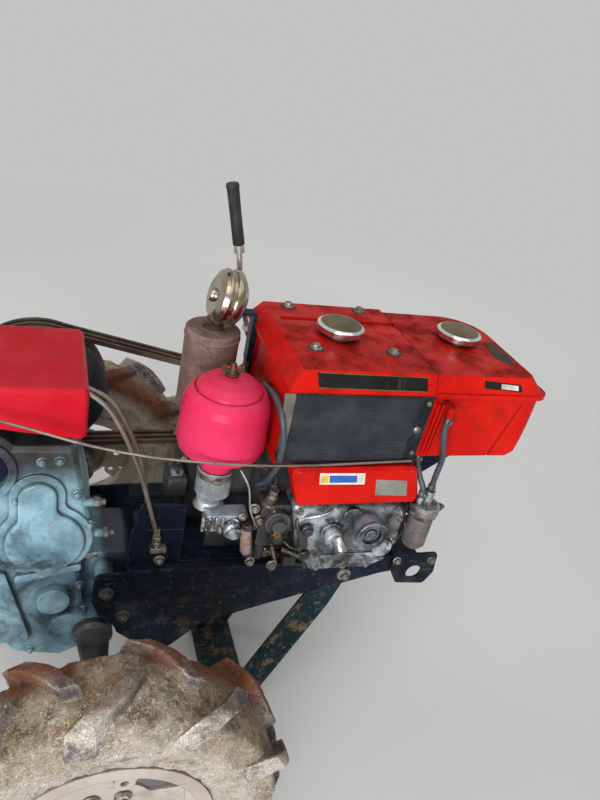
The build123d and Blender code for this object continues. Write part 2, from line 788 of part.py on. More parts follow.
def fuel_filter():
    """The bowl on its arm, with a wide head ring and two necks for the hoses."""
    x, y = filter_x, filter_y
    body = turned([
        (0, 556), (19, 556), (25, 566), (25, 640), (30, 642), (30, 666), (26, 668), (11, 668), (11, 700),
        (0, 700)], x, y)
    body += rod_z(x - 17, y, 7, 667, 684)
    return body + block((x - 27, x - 5), (y, -block_half), (644, 660))


# Air cleaner, muffler, lamp

def air_cleaner():
    """The bowl: straight sides, a round shoulder, a groove, a flat dome in it and a wing nut on top."""
    z0, z1 = cleaner_z
    r = cleaner_r
    bowl = turned([
        (0, z0 - 38), (canister_r - 4, z0 - 38), (canister_r + 2, z0), (r - 18, z0 + 4), (r - 4, z0 + 14),
        (r, z0 + 28), (r - 3, z1 - 60), (r - 8, z1 - 46), (r - 15, z1 - 36), (r - 20, z1 - 33),
        (r - 23, z1 - 35), (r - 25, z1 - 28), (r - 38, z1 - 17), (r - 58, z1 - 9), (0, z1 - 5)], 0, 0)
    nut = rod_z(0, 0, 7, z1 - 8, z1 + 8)
    wing = block((-18, 18), (-2.5, 2.5), (z1 + 1, z1 + 12))
    return Pos(cleaner_x, cleaner_y, 0) * (bowl + nut + wing)


def air_canister():
    """The oil cup under the bowl on its cast elbow, which sits on the head."""
    x, y, r = cleaner_x, cleaner_y, canister_r
    z0 = canister_base_z
    body = rod_z(x, y, r, z0, canister_top_z)
    body += turned(
        [(0, head_step_z), (30, head_step_z), (24, head_step_z + 16), (r - 4, z0 + 1), (0, z0 + 1)], x, y + 16)
    casting = block((x - 12, x + 76), (-134, -head_half - 0.2), (570, head_step_z + 10))
    casting = fillet(casting.edges().filter_by(Axis.Y), 8)
    body += casting
    return body + block((x - 12, x + 30), (-112, y + 20), (head_step_z, head_step_z + 10))


def muffler():
    x, y, r = muffler_x, muffler_y, muffler_r
    z0, z1 = muffler_z
    can = turned([
        (0, z0), (r - 8, z0), (r, z0 + 6), (r, z1 - 3), (r - 3, z1), (22, z1), (22, z1 - 40),
        (0, z1 - 40)], x, y)
    top = head_z[1]
    pipe = rod_z(x, exhaust_y, exhaust_r, top, z0 + 1)
    return can + pipe + block((x - 38, x + 38), (exhaust_y - 22, exhaust_y + 22), (top, top + 12))


def headlamp():
    """A flat round lamp that faces forward, its glass set in a rolled rim."""
    r = lamp_r
    face = Plane.XZ * make_face(Polyline(
        (0, -22), (r - 20, -22), (r - 6, -15), (r - 3, -6), (r - 3, 8), (r, 9), (r, 20), (r - 4, 22),
        (r - 7, 22), (r - 8, 17), (0, 19), close=True))
    return Pos(lamp_x, lamp_y, lamp_z) * Rot(0, 90 + lamp_lean, 0) * revolve(face, Axis.Z)


def lamp_post():
    """The strap behind the hopper that holds the lamp up from below."""
    face_x = hopper_x[0] + 6
    out_x = hopper_x[0] - 1
    width = (lamp_y - 16, lamp_y + 8)
    brim = hopper_brim_z - brim_t
    arm_z = lamp_z - 30
    post = block((face_x - 6, face_x), width, (block_top_z + 20, brim))
    joint_z = hopper_base_z + 76
    post += block((out_x - 6, face_x - 6), width, (joint_z, brim - 4))
    post += block((out_x - 6, out_x), width, (joint_z, arm_z + 6))
    arm = block((lamp_x + 10, out_x), width, (arm_z, arm_z + 6))
    return post + arm - headlamp()


# Controls

def console():
    x0, x1 = console_x
    base = console_base_z
    t = console_t
    half = console_half
    points = [(x0, base + 44), (x0, console_top_z), (x1, console_top_z), (x1, base), (x1 - 52, base + 6)]
    shell = slab(outline(points, 12), -half, half)
    shell = fillet(shell.edges().filter_by(Axis.X).sort_by(Axis.Z)[-2:], 10)
    shell -= block((x0 + t, x1 - t), (t - half, half - t), (base - 10, console_top_z - t))
    for route in control_cables:
        shell -= tube(route, cable_radii(route), cable_r + 0.2)
    return shell


def handle_base():
    """The bracket behind the case that clamps both tubes and carries the lever cover."""
    x0 = handle_base_x
    rear = clutch_lobe[0] - 40
    base = block((x0, rear), (-75, 75), (handle_base_z, case_top_z))
    post = block((console_x[0] + 20, -120), (-60, 60), (case_top_z - 20, console_top_z - console_t))
    clamp_y = handle_bar_y + 8
    saddles = block((x0 + 6, handle_root_x + 16), (-clamp_y, clamp_y), saddle_z)
    return base + post + saddles - case_body() - handle() - mirrored(handle())


def handle():
    return tube(handle_points, list(handle_bend_r), handle_r)


def grip():
    end = Vector(*handle_points[-1])
    back = (end - Vector(*handle_points[-2])).normalized()
    start = end - back * grip_len
    plane = Plane(origin=start, z_dir=back)
    sleeve = extrude(plane * Circle(grip_r), amount=grip_len + 6)
    bore = extrude(plane * Circle(handle_r), amount=grip_len)
    return sleeve - bore


def clutch_lever():
    """The steering clutch lever under the left grip, with its lug on the tube."""
    y = handle_spread
    x = handle_end_x
    lever = tube(
        [(x + 308, y - 7, 938), (x + 228, y - 4, 932), (x + 168, y - 1, 944), (x + 50, y + 1, 962)],
        [60, 60], clutch_lever_r)
    lug = block((x + 284, x + 314), (y - 11, y - 2), (928, 972))
    return lever + lug - handle()


def cross_bar():
    x, y, z = handle_points[2]
    return rod_y(x, z, 12, -y, y) - handle() - mirrored(handle())


def hand_lever():
    """The main lever on the hopper's left side: its rod bends twice and ends in a grip."""
    points = [(lever_x, lever_y, lever_z)]
    points += [(lever_x + x, lever_y, lever_z + z) for x, z in lever_run[:2]]
    rod = tube(points, [300], lever_r)
    rod += rod_y(lever_x, lever_z + 4, 2 * lever_r, hopper_y[1] - 6, lever_y + 10)
    end = (lever_x + lever_run[2][0], lever_y, lever_z + lever_run[2][1])
    return rod + bar(points[-1], end, lever_grip_r)


def throttle_lever():
    """The throttle's clamp on the right tube, with its short lever."""
    x, y, z = throttle_cable[0]
    clamp = block((x - 26, x), (y - 36, y + 20), (z - 48, z + 8))
    lever = tube([(x - 16, y - 2, z), (x - 30, y + 8, z + 30), (x - 70, y + 14, z + 44)], [18], 4)
    cable = tube(throttle_cable, cable_radii(throttle_cable), throttle_r + 0.2)
    return clamp + lever - mirrored(handle()) - cable


# Cables

cable_r = 4.5
cable_out = case_half + 25.0
cable_in = case_half - 3.0
control_cables = [
    [(-48, -98, 870), (-4, -106, 842), (30, -114, 786), (62, 8 - cable_out, 712), (86, -cable_out, 634),
     (106, -cable_out, 566)],
    [(-48, -82, 868), (4, -88, 846), (36, -92, 792), (66, -96, 722), (84, 2 - cable_in, 640), (92, -cable_in, 560)]]
throttle_r = 2.5
throttle_cable = [
    (-1040, -284, 992), (-900, -256, 962), (-700, -222, 908), (-500, -178, 876), (-310, -150, 872),
    (-172, -150, 838), (-40, -166, 800), (72, -182, 784), (226, -192, 774), (346, -189, 769), (470, -182, 769),
    (580, -180, 772)]
hose_r = 6.0
filter_x = crank_x + 145.0
filter_y = -184.0
fuel_hoses = [
    [(628, -184, 878), (628, -184, 838), (646, -186, 784), (645, -184, 740), (645, -184, 700)],
    [(616, -148, 768), (616, -148, 748), (620, -170, 722), (628, -184, 704), (628, -184, 684)]]
corner_hose = [
    (309, -14, 846), (290, -62, 866), (291, -114, 880), (288, -170, 882), (298, -190, 838), (303, -183, 778),
    (302, -168, 738), (298, -146, 702), (290, -122, 676), (312, -100, 656)]


# Stand

def stand_arm():
    """The left arm of the stand, from its eye down to the foot."""
    run = hypot(stand_x - stand_foot_x, stand_z)
    lean = atan2(stand_x - stand_foot_x, stand_z)
    bar = outline([
        (-stand_eye_r, 0), (-stand_w / 2, -110), (-stand_w / 2, -run - 60), (stand_w / 2, -run - 60),
        (stand_w / 2, -110), (stand_eye_r, 0)])
    bar += Circle(stand_eye_r)
    bar -= Circle(stand_pin_r + axle_gap)
    arm = slab(Pos(stand_x, stand_z) * Rot(0, 0, -degrees(lean)) * bar, stand_y - stand_t, stand_y)
    return arm & block((0, 900), (0, 400), (foot_t, 900))


def stand_foot():
    x0 = stand_foot_x - foot_x_len / 2
    foot = block((x0, x0 + foot_x_len), (-foot_half, foot_half), (0, foot_t))
    return fillet(foot.edges().filter_by(Axis.Z), 16)


def stand_pin():
    pin = rod_y(stand_x, stand_z, stand_pin_r, -rail_y, rail_y)
    for side in (-1, 1):
        pin += rod_y(stand_x, stand_z, stand_pin_r + 5, *sorted((side * rail_y, side * (rail_y + 6))))
    return pin


pieces = {}


def add_pair(name, shape):
    """A left piece and its mirror image on the right."""
    pieces[name + "_left"] = shape
    pieces[name + "_right"] = mirrored(shape)


add_pair("tyre", tyre())
add_pair("rim", rim())
add_pair("hub", hub())
pieces["axle_housings"] = [axle_housing(), mirrored(axle_housing())]
add_pair("rail", rail())
add_pair("handle", handle())
pieces["grips"] = [grip(), mirrored(grip())]
pieces["clutch_levers"] = [clutch_lever(), mirrored(clutch_lever())]
add_pair("stand_arm", stand_arm())
pieces["stand_foot"] = stand_foot()
pieces["stand_pin"] = stand_pin()
pieces["gearbox_case"] = gearbox_case()
pieces["gear_cover"] = gear_cover()
pieces["front_plate"] = front_plate()
pieces["shield_plate"] = shield_plate()
pieces["hitch"] = hitch()
pieces["engine_block"] = engine_block()
pieces["cylinder_head"] = cylinder_head()
pieces["gear_case"] = gear_case()
pieces["injection_pump"] = injection_pump()
pieces["flywheel"] = flywheel()
pieces["clutch_pulley"] = clutch_pulley()
pieces["v_belts"] = v_belts()
pieces["hopper"] = hopper()
pieces["hopper_cover"] = hopper_cover()
pieces["radiator_side"] = radiator_side()
pieces["screen"] = screen()
pieces["side_box"] = side_box()
pieces["fuel_tank"] = fuel_tank()
pieces["filler_caps"] = [
    round_cap(radiator_cap_x, radiator_cap_y, hopper_top_z, cap_r),
    round_cap(tank_cap_x, tank_cap_y, tank_top_z, cap_r)]
pieces["tank_bracket"] = tank_bracket()
pieces["fuel_filter"] = fuel_filter()
pieces["air_cleaner"] = air_cleaner()
pieces["air_canister"] = air_canister()
pieces["muffler"] = muffler()
pieces["headlamp"] = headlamp()
pieces["lamp_post"] = lamp_post()
pieces["console"] = console()
pieces["handle_base"] = handle_base()
pieces["cross_bar"] = cross_bar()
pieces["hand_lever"] = hand_lever()
pieces["throttle_lever"] = throttle_lever()
for name, routes, r in (
        ("control_cables", control_cables, cable_r), ("throttle_cable", [throttle_cable], throttle_r),
        ("fuel_hoses", fuel_hoses + [corner_hose], hose_r)):
    solids = []
    for route in routes:
        radii = cable_radii(route)
        print(name, "bend radii", [round(value) for value in radii])
        solids.append(tube(route, radii, r))
    pieces[name] = solids
# The hose round the hopper's corner ends flush with the hopper's rear wall and with the block.
pieces["fuel_hoses"][-1] -= block((hopper_x[0] + hopper_wall_in, hopper_x[1]), (-60, 0), (820, 900))
pieces["fuel_hoses"][-1] -= block(block_x, (-block_half, 0), (600, 720))


def solids_of(shape):
    if isinstance(shape, list):
        return [solid for one in shape for solid in one.solids()]
    return list(shape.solids())


grouped = {name: solids_of(shape) for name, shape in pieces.items()}
whole = Compound([solid for solids in grouped.values() for solid in solids]).bounding_box()
middle_x = (whole.min.X + whole.max.X) / 2
print("machine", round(whole.size.X), round(whole.size.Y), round(whole.size.Z), "shift", round(-middle_x, 3))
os.makedirs("parts", exist_ok=True)
for name, solids in grouped.items():
    moved = [Pos(-middle_x, 0, 0) * solid for solid in solids]
    export_step(moved[0] if len(moved) == 1 else Compound(moved), f"parts/{name}.step")
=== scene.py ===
"""Looks of the two-wheel walking tractor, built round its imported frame.

Places are given as P(x, y, z) in millimetres from the wheels' axle, as in the part's source.
"""
import json
import math

import bmesh
import bpy
import numpy as np
from mathutils import Matrix, Vector, noise


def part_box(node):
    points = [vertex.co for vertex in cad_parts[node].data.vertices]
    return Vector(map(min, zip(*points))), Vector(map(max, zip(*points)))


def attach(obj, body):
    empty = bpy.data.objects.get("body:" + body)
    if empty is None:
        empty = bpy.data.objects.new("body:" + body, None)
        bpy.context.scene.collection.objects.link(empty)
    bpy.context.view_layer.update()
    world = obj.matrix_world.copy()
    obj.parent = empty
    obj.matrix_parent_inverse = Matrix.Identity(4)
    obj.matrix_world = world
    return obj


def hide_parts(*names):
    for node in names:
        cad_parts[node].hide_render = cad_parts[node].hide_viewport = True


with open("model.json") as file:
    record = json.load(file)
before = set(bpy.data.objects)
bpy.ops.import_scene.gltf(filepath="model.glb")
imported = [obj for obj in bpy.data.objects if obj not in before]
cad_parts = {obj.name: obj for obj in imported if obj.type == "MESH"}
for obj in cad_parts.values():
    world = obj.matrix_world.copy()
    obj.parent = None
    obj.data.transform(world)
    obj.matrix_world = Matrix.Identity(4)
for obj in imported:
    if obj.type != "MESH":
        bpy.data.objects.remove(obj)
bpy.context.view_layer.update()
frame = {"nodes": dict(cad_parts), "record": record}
NODES = frame["nodes"]

hub_low, hub_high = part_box("hub_right")
AXLE_X = (hub_low.x + hub_high.x) / 2
AXLE_Z = (hub_low.z + hub_high.z) / 2
TRACK_HALF = 0.488
# The axle's height in millimetres, and the middles of crankshaft and clutch pulley as (x, z)
AXLE_UP = 310
CRANK = (500, 610)
CLUTCH = (-117, 672)


def P(x, y, z):
    return Vector((AXLE_X + x / 1000, y / 1000, z / 1000))


def add(name, data):
    """A new object in the scene."""
    made = bpy.data.objects.new(name, data)
    bpy.context.collection.objects.link(made)
    return made


# Camera
CAMERA_AT = (-123.7, -1189.1, 1509.4)
TURN, DIP, ROLL = (math.radians(a) for a in (23.53, 28.71, 13.11))
forward = Vector((math.sin(TURN) * math.cos(DIP), math.cos(TURN) * math.cos(DIP), -math.sin(DIP)))
level_right = Vector((math.cos(TURN), -math.sin(TURN), 0))
level_up = level_right.cross(forward)
right = level_right * math.cos(ROLL) + level_up * math.sin(ROLL)
up = level_up * math.cos(ROLL) - level_right * math.sin(ROLL)
camera_data = bpy.data.cameras.new("camera")
camera_data.sensor_width = 36
camera_data.lens = 32.07
camera_data.clip_start = 0.05
camera = add("camera", camera_data)
turn = Matrix((right, up, -forward)).transposed().to_4x4()
camera.matrix_world = Matrix.Translation(P(*CAMERA_AT)) @ turn
bpy.context.scene.camera = camera


# Colours and materials
def rgb(r, g, b):
    """A colour written from 0 to 255, as the shader takes it."""
    def linear(value):
        value /= 255
        return value / 12.92 if value <= 0.04045 else ((value + 0.055) / 1.055) ** 2.4
    return (linear(r), linear(g), linear(b), 1.0)


class Shader:
    """Writes one material's nodes. Coordinates are the row frame's, in metres."""

    def __init__(self, name):
        self.material = bpy.data.materials.new(name)
        self.material.use_nodes = True
        self.tree = self.material.node_tree
        self.tree.nodes.clear()
        self.place = self.node("ShaderNodeTexCoord").outputs["Object"]
        self.geometry = self.node("ShaderNodeNewGeometry")

    def node(self, kind, **settings):
        made = self.tree.nodes.new(kind)
        for key, value in settings.items():
            setattr(made, key, value)
        return made

    def put(self, socket, value):
        """Links a socket, or sets its number or colour. Three numbers are a colour from 0 to 255."""
        if isinstance(value, bpy.types.NodeSocket):
            self.tree.links.new(value, socket)
        else:
            socket.default_value = rgb(*value) if isinstance(value, tuple) and len(value) == 3 else value

    def stretched(self, stretch):
        mapping = self.node("ShaderNodeMapping")
        self.put(mapping.inputs["Vector"], self.place)
        mapping.inputs["Scale"].default_value = stretch
        return mapping.outputs["Vector"]

    def noise(self, scale, detail=3.0, rough=0.55, stretch=None, twist=0.0):
        made = self.node("ShaderNodeTexNoise")
        self.put(made.inputs["Vector"], self.stretched(stretch) if stretch else self.place)
        for key, value in zip(("Scale", "Detail", "Roughness", "Distortion"), (scale, detail, rough, twist)):
            made.inputs[key].default_value = value
        return made.outputs["Fac"]

    def step(self, value, low, high, out_low=0.0, out_high=1.0):
        """Eases from out_low to out_high while value goes from low to high."""
        made = self.node("ShaderNodeMapRange", interpolation_type="SMOOTHSTEP")
        self.put(made.inputs["Value"], value)
        for key, limit in zip(("From Min", "From Max", "To Min", "To Max"), (low, high, out_low, out_high)):
            made.inputs[key].default_value = limit
        return made.outputs["Result"]

    def calc(self, operation, a, b):
        """One Math node, held between 0 and 1 unless it subtracts."""
        made = self.node("ShaderNodeMath", operation=operation, use_clamp=operation != "SUBTRACT")
        self.put(made.inputs[0], a)
        self.put(made.inputs[1], b)
        return made.outputs[0]

    def times(self, a, b):
        return self.calc("MULTIPLY", a, b)

    def mix(self, share, a, b):
        made = self.node("ShaderNodeMix", data_type="RGBA")
        self.put(made.inputs["Factor"], share)
        self.put(made.inputs["A"], a)
        self.put(made.inputs["B"], b)
        return made.outputs["Result"]

    def part(self, vector, axis):
        parts = self.node("ShaderNodeSeparateXYZ")
        self.put(parts.inputs[0], vector)
        return parts.outputs[axis]

    def upward(self, low=0.3, high=0.95):
        return self.step(self.part(self.geometry.outputs["Normal"], "Z"), low, high)

    def along(self, axis):
        return self.part(self.place, axis)

    def soft_normal(self, radius):
        bevel = self.node("ShaderNodeBevel", samples=6)
        bevel.inputs["Radius"].default_value = radius
        return bevel.outputs[0]

    def edges(self, radius):
        """How near an edge the surface is, and the softened normal there."""
        soft = self.soft_normal(radius)
        dot = self.node("ShaderNodeVectorMath", operation="DOT_PRODUCT")
        self.put(dot.inputs[0], soft)
        self.put(dot.inputs[1], self.geometry.outputs["True Normal"])
        return self.step(dot.outputs["Value"], 0.995, 0.87), soft

    def hollow(self, reach, low, high):
        """How deep in a corner or under an overhang the surface lies, for painted shade there."""
        made = self.node("ShaderNodeAmbientOcclusion", samples=5)
        made.inputs["Distance"].default_value = reach
        return self.step(made.outputs["AO"], low, high)

    def bump(self, height, strength, distance, normal=None):
        made = self.node("ShaderNodeBump")
        made.inputs["Strength"].default_value = strength
        made.inputs["Distance"].default_value = distance
        self.put(made.inputs["Height"], height)
        if normal is not None:
            self.put(made.inputs["Normal"], normal)
        return made.outputs["Normal"]

    def finish(self, colour, roughness, metallic=0.0, normal=None, **sockets):
        shader = self.shader = self.node("ShaderNodeBsdfPrincipled")
        self.put(shader.inputs["Base Color"], colour)
        self.put(shader.inputs["Roughness"], roughness)
        self.put(shader.inputs["Metallic"], metallic)
        if normal is not None:
            self.put(shader.inputs["Normal"], normal)
        for key, value in sockets.items():
            shader.inputs[key.replace("_", " ")].default_value = value
        output = self.output = self.node("ShaderNodeOutputMaterial")
        self.tree.links.new(shader.outputs[0], output.inputs["Surface"])
        return self.material


def enamel(name, colour, faded, bare, wear, top_dust_and_shade, gloss, top_dust_and_shade_colour=(150, 120, 100), grease=0.0,
           splash=0.0):
    """Sprayed enamel: faded in clouds, rubbed bare at the edges and scratched, with a film on top and painted
    shade in its seams.

    top_dust_and_shade is that film's share: dust on most paints, painted shade on the red paint's tops.
    Grease adds dark stains, splash adds dried mud low down."""
    s = Shader(name)
    tone = s.mix(s.step(s.noise(5.5, 4), 0.35, 0.7), colour, faded)
    edge, normal = s.edges(0.0025)
    chips = s.times(edge, s.step(s.noise(70, 4, 0.7), 0.62 - 0.2 * wear, 0.7 - 0.12 * wear))
    scratch = s.step(s.noise(26, 2, 0.5, stretch=(0.5, 3.2, 9.0), twist=0.4), 0.66, 0.7)
    scratch = s.times(scratch, s.step(s.noise(9, 2), 0.46, 0.58))
    tone = s.mix(s.times(scratch, 0.8 * wear), tone, bare)
    smear = s.times(s.step(s.noise(6.3, 6, 0.75, twist=1.0), 0.54, 0.7), 0.45 * wear)
    tone = s.mix(smear, tone, bare)
    tone = s.mix(s.times(chips, 0.9), tone, bare)
    # The film on upward faces: dust, and for the red paint a dark red that paints shade on the tops
    film = s.times(s.upward(), s.step(s.noise(14, 5, 0.65), 0.35, 0.75))
    specks = s.step(s.noise(160, 3, 0.6), 0.6, 0.75)
    film = s.times(s.calc("ADD", film, s.times(specks, 0.25)), top_dust_and_shade)
    tone = s.mix(film, tone, top_dust_and_shade_colour)
    # Painted shade, with some grime: darker in seams, corners and under overhangs
    seam_grime_and_shade = s.times(s.hollow(0.012, 0.62, 0.2), 0.75)
    tone = s.mix(seam_grime_and_shade, tone, (30, 22, 20))
    if grease:
        stain = s.times(s.step(s.noise(12, 5, 0.7, twist=0.6), 0.5, 0.66), grease)
        tone = s.mix(stain, tone, (24, 22, 22))
    if splash:
        low = s.times(s.step(s.along("Z"), 0.52, 0.2), s.step(s.noise(26, 6, 0.78), 0.5, 0.62))
        drops = s.times(s.step(s.along("Z"), 0.6, 0.3), s.step(s.noise(95, 3, 0.6), 0.62, 0.68))
        mud_share = s.times(s.calc("MAXIMUM", low, drops), splash)
        tone = s.mix(mud_share, tone, (128, 108, 84))
        film = s.calc("MAXIMUM", film, mud_share)
    rough = s.step(s.noise(30, 4), 0.3, 0.7, gloss, gloss + 0.18)
    rough = s.calc("ADD", rough, s.times(film, 0.5))
    waves = s.bump(s.noise(34, 2), 0.12, 0.002, normal)
    fine = s.bump(s.noise(300, 2), 0.1, 0.0006, waves)
    return s.finish(tone, rough, 0.0, fine, Coat_Weight=0.03, Coat_Roughness=0.12, Specular_IOR_Level=0.07)


def casting(name, colour, light, dark, grain, oil, gloss, metallic=0.0, edge_light=0.7, top=0.0, grime=0.0):
    """A rough sand casting, painted or bare, lighter on its edges from wear and a painted highlight, dark
    with oil in patches, and darker in its corners as painted shade.

    With top, shade is painted on it: darker high up, below the lever cover, and on its front, behind the
    shield plate.
    Grime is dark dirt, caked on in spots."""
    s = Shader(name)
    tone = s.mix(s.step(s.noise(9, 5, 0.6), 0.35, 0.68), colour, light)
    edge, normal = s.edges(0.004)
    # Lighter edges: partly wear, partly a painted highlight
    worn_edge_and_highlight = s.times(edge, s.step(s.noise(38, 4), 0.35, 0.6))
    tone = s.mix(s.times(worn_edge_and_highlight, edge_light), tone, tuple(0.7 * value + 64 for value in light))
    stain = s.times(s.step(s.noise(7, 6, 0.72, twist=0.8), 0.44, 0.66), oil)
    tone = s.mix(stain, tone, dark)
    # Painted shade, with some oil: darker in corners and under overhangs
    corner = s.times(s.hollow(0.03, 0.86, 0.4), s.step(s.noise(13, 4, 0.6), 0.3, 0.55, 0.4, 1.0))
    tone = s.mix(s.times(corner, 0.9), tone, dark)
    if top:
        # Painted shade: darker high up, below the lever cover
        high = s.calc("ADD", s.along("Z"), s.times(s.noise(16, 4, 0.6), 0.12))
        tone = s.mix(s.times(s.step(high, 0.70, 0.79), top), tone, (48, 42, 38))
        # Painted shade: darker on the front, behind the shield plate
        ahead = s.calc("ADD", s.along("X"), s.times(s.noise(30, 4, 0.6), 0.02))
        front = s.step(ahead, AXLE_X + 0.008, AXLE_X + 0.034)
        tone = s.mix(s.times(front, top), tone, (26, 29, 32))
    if grime:
        caked = s.times(s.step(s.noise(32, 6, 0.78, twist=0.4), 0.47, 0.6), grime)
        tone = s.mix(caked, tone, (44, 35, 29))
    pits = s.step(s.noise(240, 3, 0.7), 0.58, 0.75)
    tone = s.mix(s.times(pits, 0.35), tone, dark)
    rough = s.step(s.noise(22, 4), 0.35, 0.7, gloss, gloss + 0.25)
    height = s.calc("ADD", s.times(s.noise(150, 4, 0.7), 0.7), s.times(s.noise(28, 3), 0.5))
    return s.finish(tone, rough, metallic, s.bump(height, grain, 0.0016, normal))


def rust(name, colour, light, dark):
    """Steel that is rusty all over, in patches and grains."""
    s = Shader(name)
    tone = s.mix(s.step(s.noise(16, 6, 0.7), 0.38, 0.66), colour, light)
    tone = s.mix(s.step(s.noise(60, 5, 0.75), 0.52, 0.72), tone, dark)
    edge, normal = s.edges(0.003)
    tone = s.mix(s.times(edge, 0.35), tone, light)
    height = s.noise(210, 5, 0.75)
    return s.finish(tone, s.step(s.noise(20), 0.3, 0.7, 0.7, 0.95), 0.0, s.bump(height, 0.45, 0.0012, normal))


def plated(name, colour, dull, dirt, roughness, cover):
    """Plated or polished metal, dull in clouds, with dirt over a share of it."""
    s = Shader(name)
    tone = s.mix(s.step(s.noise(12, 4), 0.35, 0.7), colour, dull)
    grime = s.times(s.step(s.noise(26, 6, 0.72, twist=0.5), 0.48, 0.7), cover)
    tone = s.mix(grime, tone, dirt)
    rough = s.calc("ADD", s.step(s.noise(40, 3), 0.3, 0.7, roughness, roughness + 0.14), s.times(grime, 0.6))
    bare = s.calc("SUBTRACT", 1.0, grime)
    return s.finish(tone, rough, bare, s.bump(s.noise(180, 3), 0.08, 0.0006, s.soft_normal(0.0015)))


def rubber(name, colour, dusty, share, roughness, grain=0.2):
    s = Shader(name)
    tone = s.mix(s.times(s.step(s.noise(18, 5, 0.65), 0.38, 0.7), share), colour, dusty)
    tone = s.mix(s.times(s.upward(0.2, 1.0), 0.3 * share), tone, dusty)
    return s.finish(tone, s.step(s.noise(30), 0.3, 0.7, roughness, roughness + 0.2), 0.0,
                    s.bump(s.noise(260, 3), grain, 0.0008, s.soft_normal(0.0015)))


def mud():
    """The lug tyre: dusty rubber lugs, and straw and dried mud caked between them.

    The mesh carries lug_depth, from 0 in a trough over 0.5 at a lug's edge to 1 on its middle, and
    wall_depth, from 0 on the tread to 1 low on the wall."""
    s = Shader("tyre_mud")
    lug = s.node("ShaderNodeAttribute", attribute_name="lug_depth").outputs["Fac"]
    low = s.node("ShaderNodeAttribute", attribute_name="wall_depth").outputs["Fac"]
    ragged = s.calc("ADD", lug, s.times(s.calc("SUBTRACT", s.noise(55, 5, 0.7), 0.5), 0.16))
    # Between the lugs
    tone = s.mix(s.step(s.noise(30, 6, 0.72, twist=0.3), 0.36, 0.64), (92, 78, 60), (184, 168, 144))
    tone = s.mix(s.step(s.noise(9, 5, 0.7), 0.52, 0.64), tone, (146, 110, 64))
    tone = s.mix(s.step(s.noise(7.3, 4, 0.6), 0.6, 0.7), tone, (132, 92, 78))
    straw = None
    for scale, stretch, width in ((82, (1.0, 0.6, 1.3), 0.052), (128, (0.7, 1.2, 0.8), 0.055),
                                  (62, (1.3, 1.0, 0.6), 0.036)):
        away = s.calc("ABSOLUTE", s.calc("SUBTRACT", s.noise(scale, 1, 0.4, stretch, 1.2), 0.5), 0.0)
        line = s.step(away, width, 0.0)
        straw = line if straw is None else s.calc("MAXIMUM", straw, line)
    straw = s.times(straw, s.step(s.noise(12, 4, 0.6), 0.3, 0.5))
    straw_tone = s.mix(s.step(s.noise(5, 3), 0.4, 0.6), (232, 218, 192), (208, 186, 146))
    tone = s.mix(s.times(straw, 0.8), tone, straw_tone)
    # On the lugs
    face = s.mix(s.step(s.noise(40, 5, 0.7), 0.4, 0.64), (74, 68, 72), (132, 122, 122))
    face = s.mix(s.step(s.noise(170, 3, 0.6), 0.56, 0.7), face, (158, 147, 136))
    bare = s.times(s.step(ragged, 0.4, 0.5), s.step(s.noise(8.5, 5, 0.65), 0.47, 0.6, 1.0, 0.5))
    tone = s.mix(bare, tone, face)
    edge, _ = s.edges(0.005)
    edge = s.times(edge, s.step(ragged, 0.42, 0.5))
    tone = s.mix(s.times(edge, s.step(s.noise(20, 4), 0.34, 0.56, 0.45, 0.95)), tone, (200, 186, 160))
    # Orange mud on the machine's side, and pale dust low on the wall and on the lugs' outer ends
    sideways = s.calc("ABSOLUTE", s.along("Y"), 0.0)
    inner = s.step(sideways, 0.5, 0.44)
    ochre = s.times(inner, s.step(s.noise(8, 4, 0.6), 0.34, 0.52))
    tone = s.mix(s.times(ochre, 0.9), tone, (118, 62, 24))
    ends = s.times(s.step(sideways, 0.532, 0.554), s.step(s.noise(17, 4, 0.65), 0.34, 0.5))
    ends = s.times(ends, s.step(ragged, 0.4, 0.5, 0.3, 1.0))
    pale = s.times(s.calc("MAXIMUM", low, ends), s.step(s.noise(24, 6, 0.75), 0.3, 0.56))
    tone = s.mix(s.times(pale, 0.9), tone, (218, 208, 194))
    dark = s.step(s.noise(46, 5, 0.75), 0.62, 0.74)
    tone = s.mix(s.times(dark, 0.7), tone, (44, 34, 26))
    clods = s.times(s.noise(48, 6, 0.8), s.step(ragged, 0.52, 0.42, 0.15, 1.0))
    fine = s.bump(s.calc("ADD", s.times(s.noise(130, 5, 0.75), 0.6), s.times(straw, 0.7)), 0.9, 0.004)
    return s.finish(tone, 0.92, 0.0, s.bump(clods, 0.9, 0.009, fine))


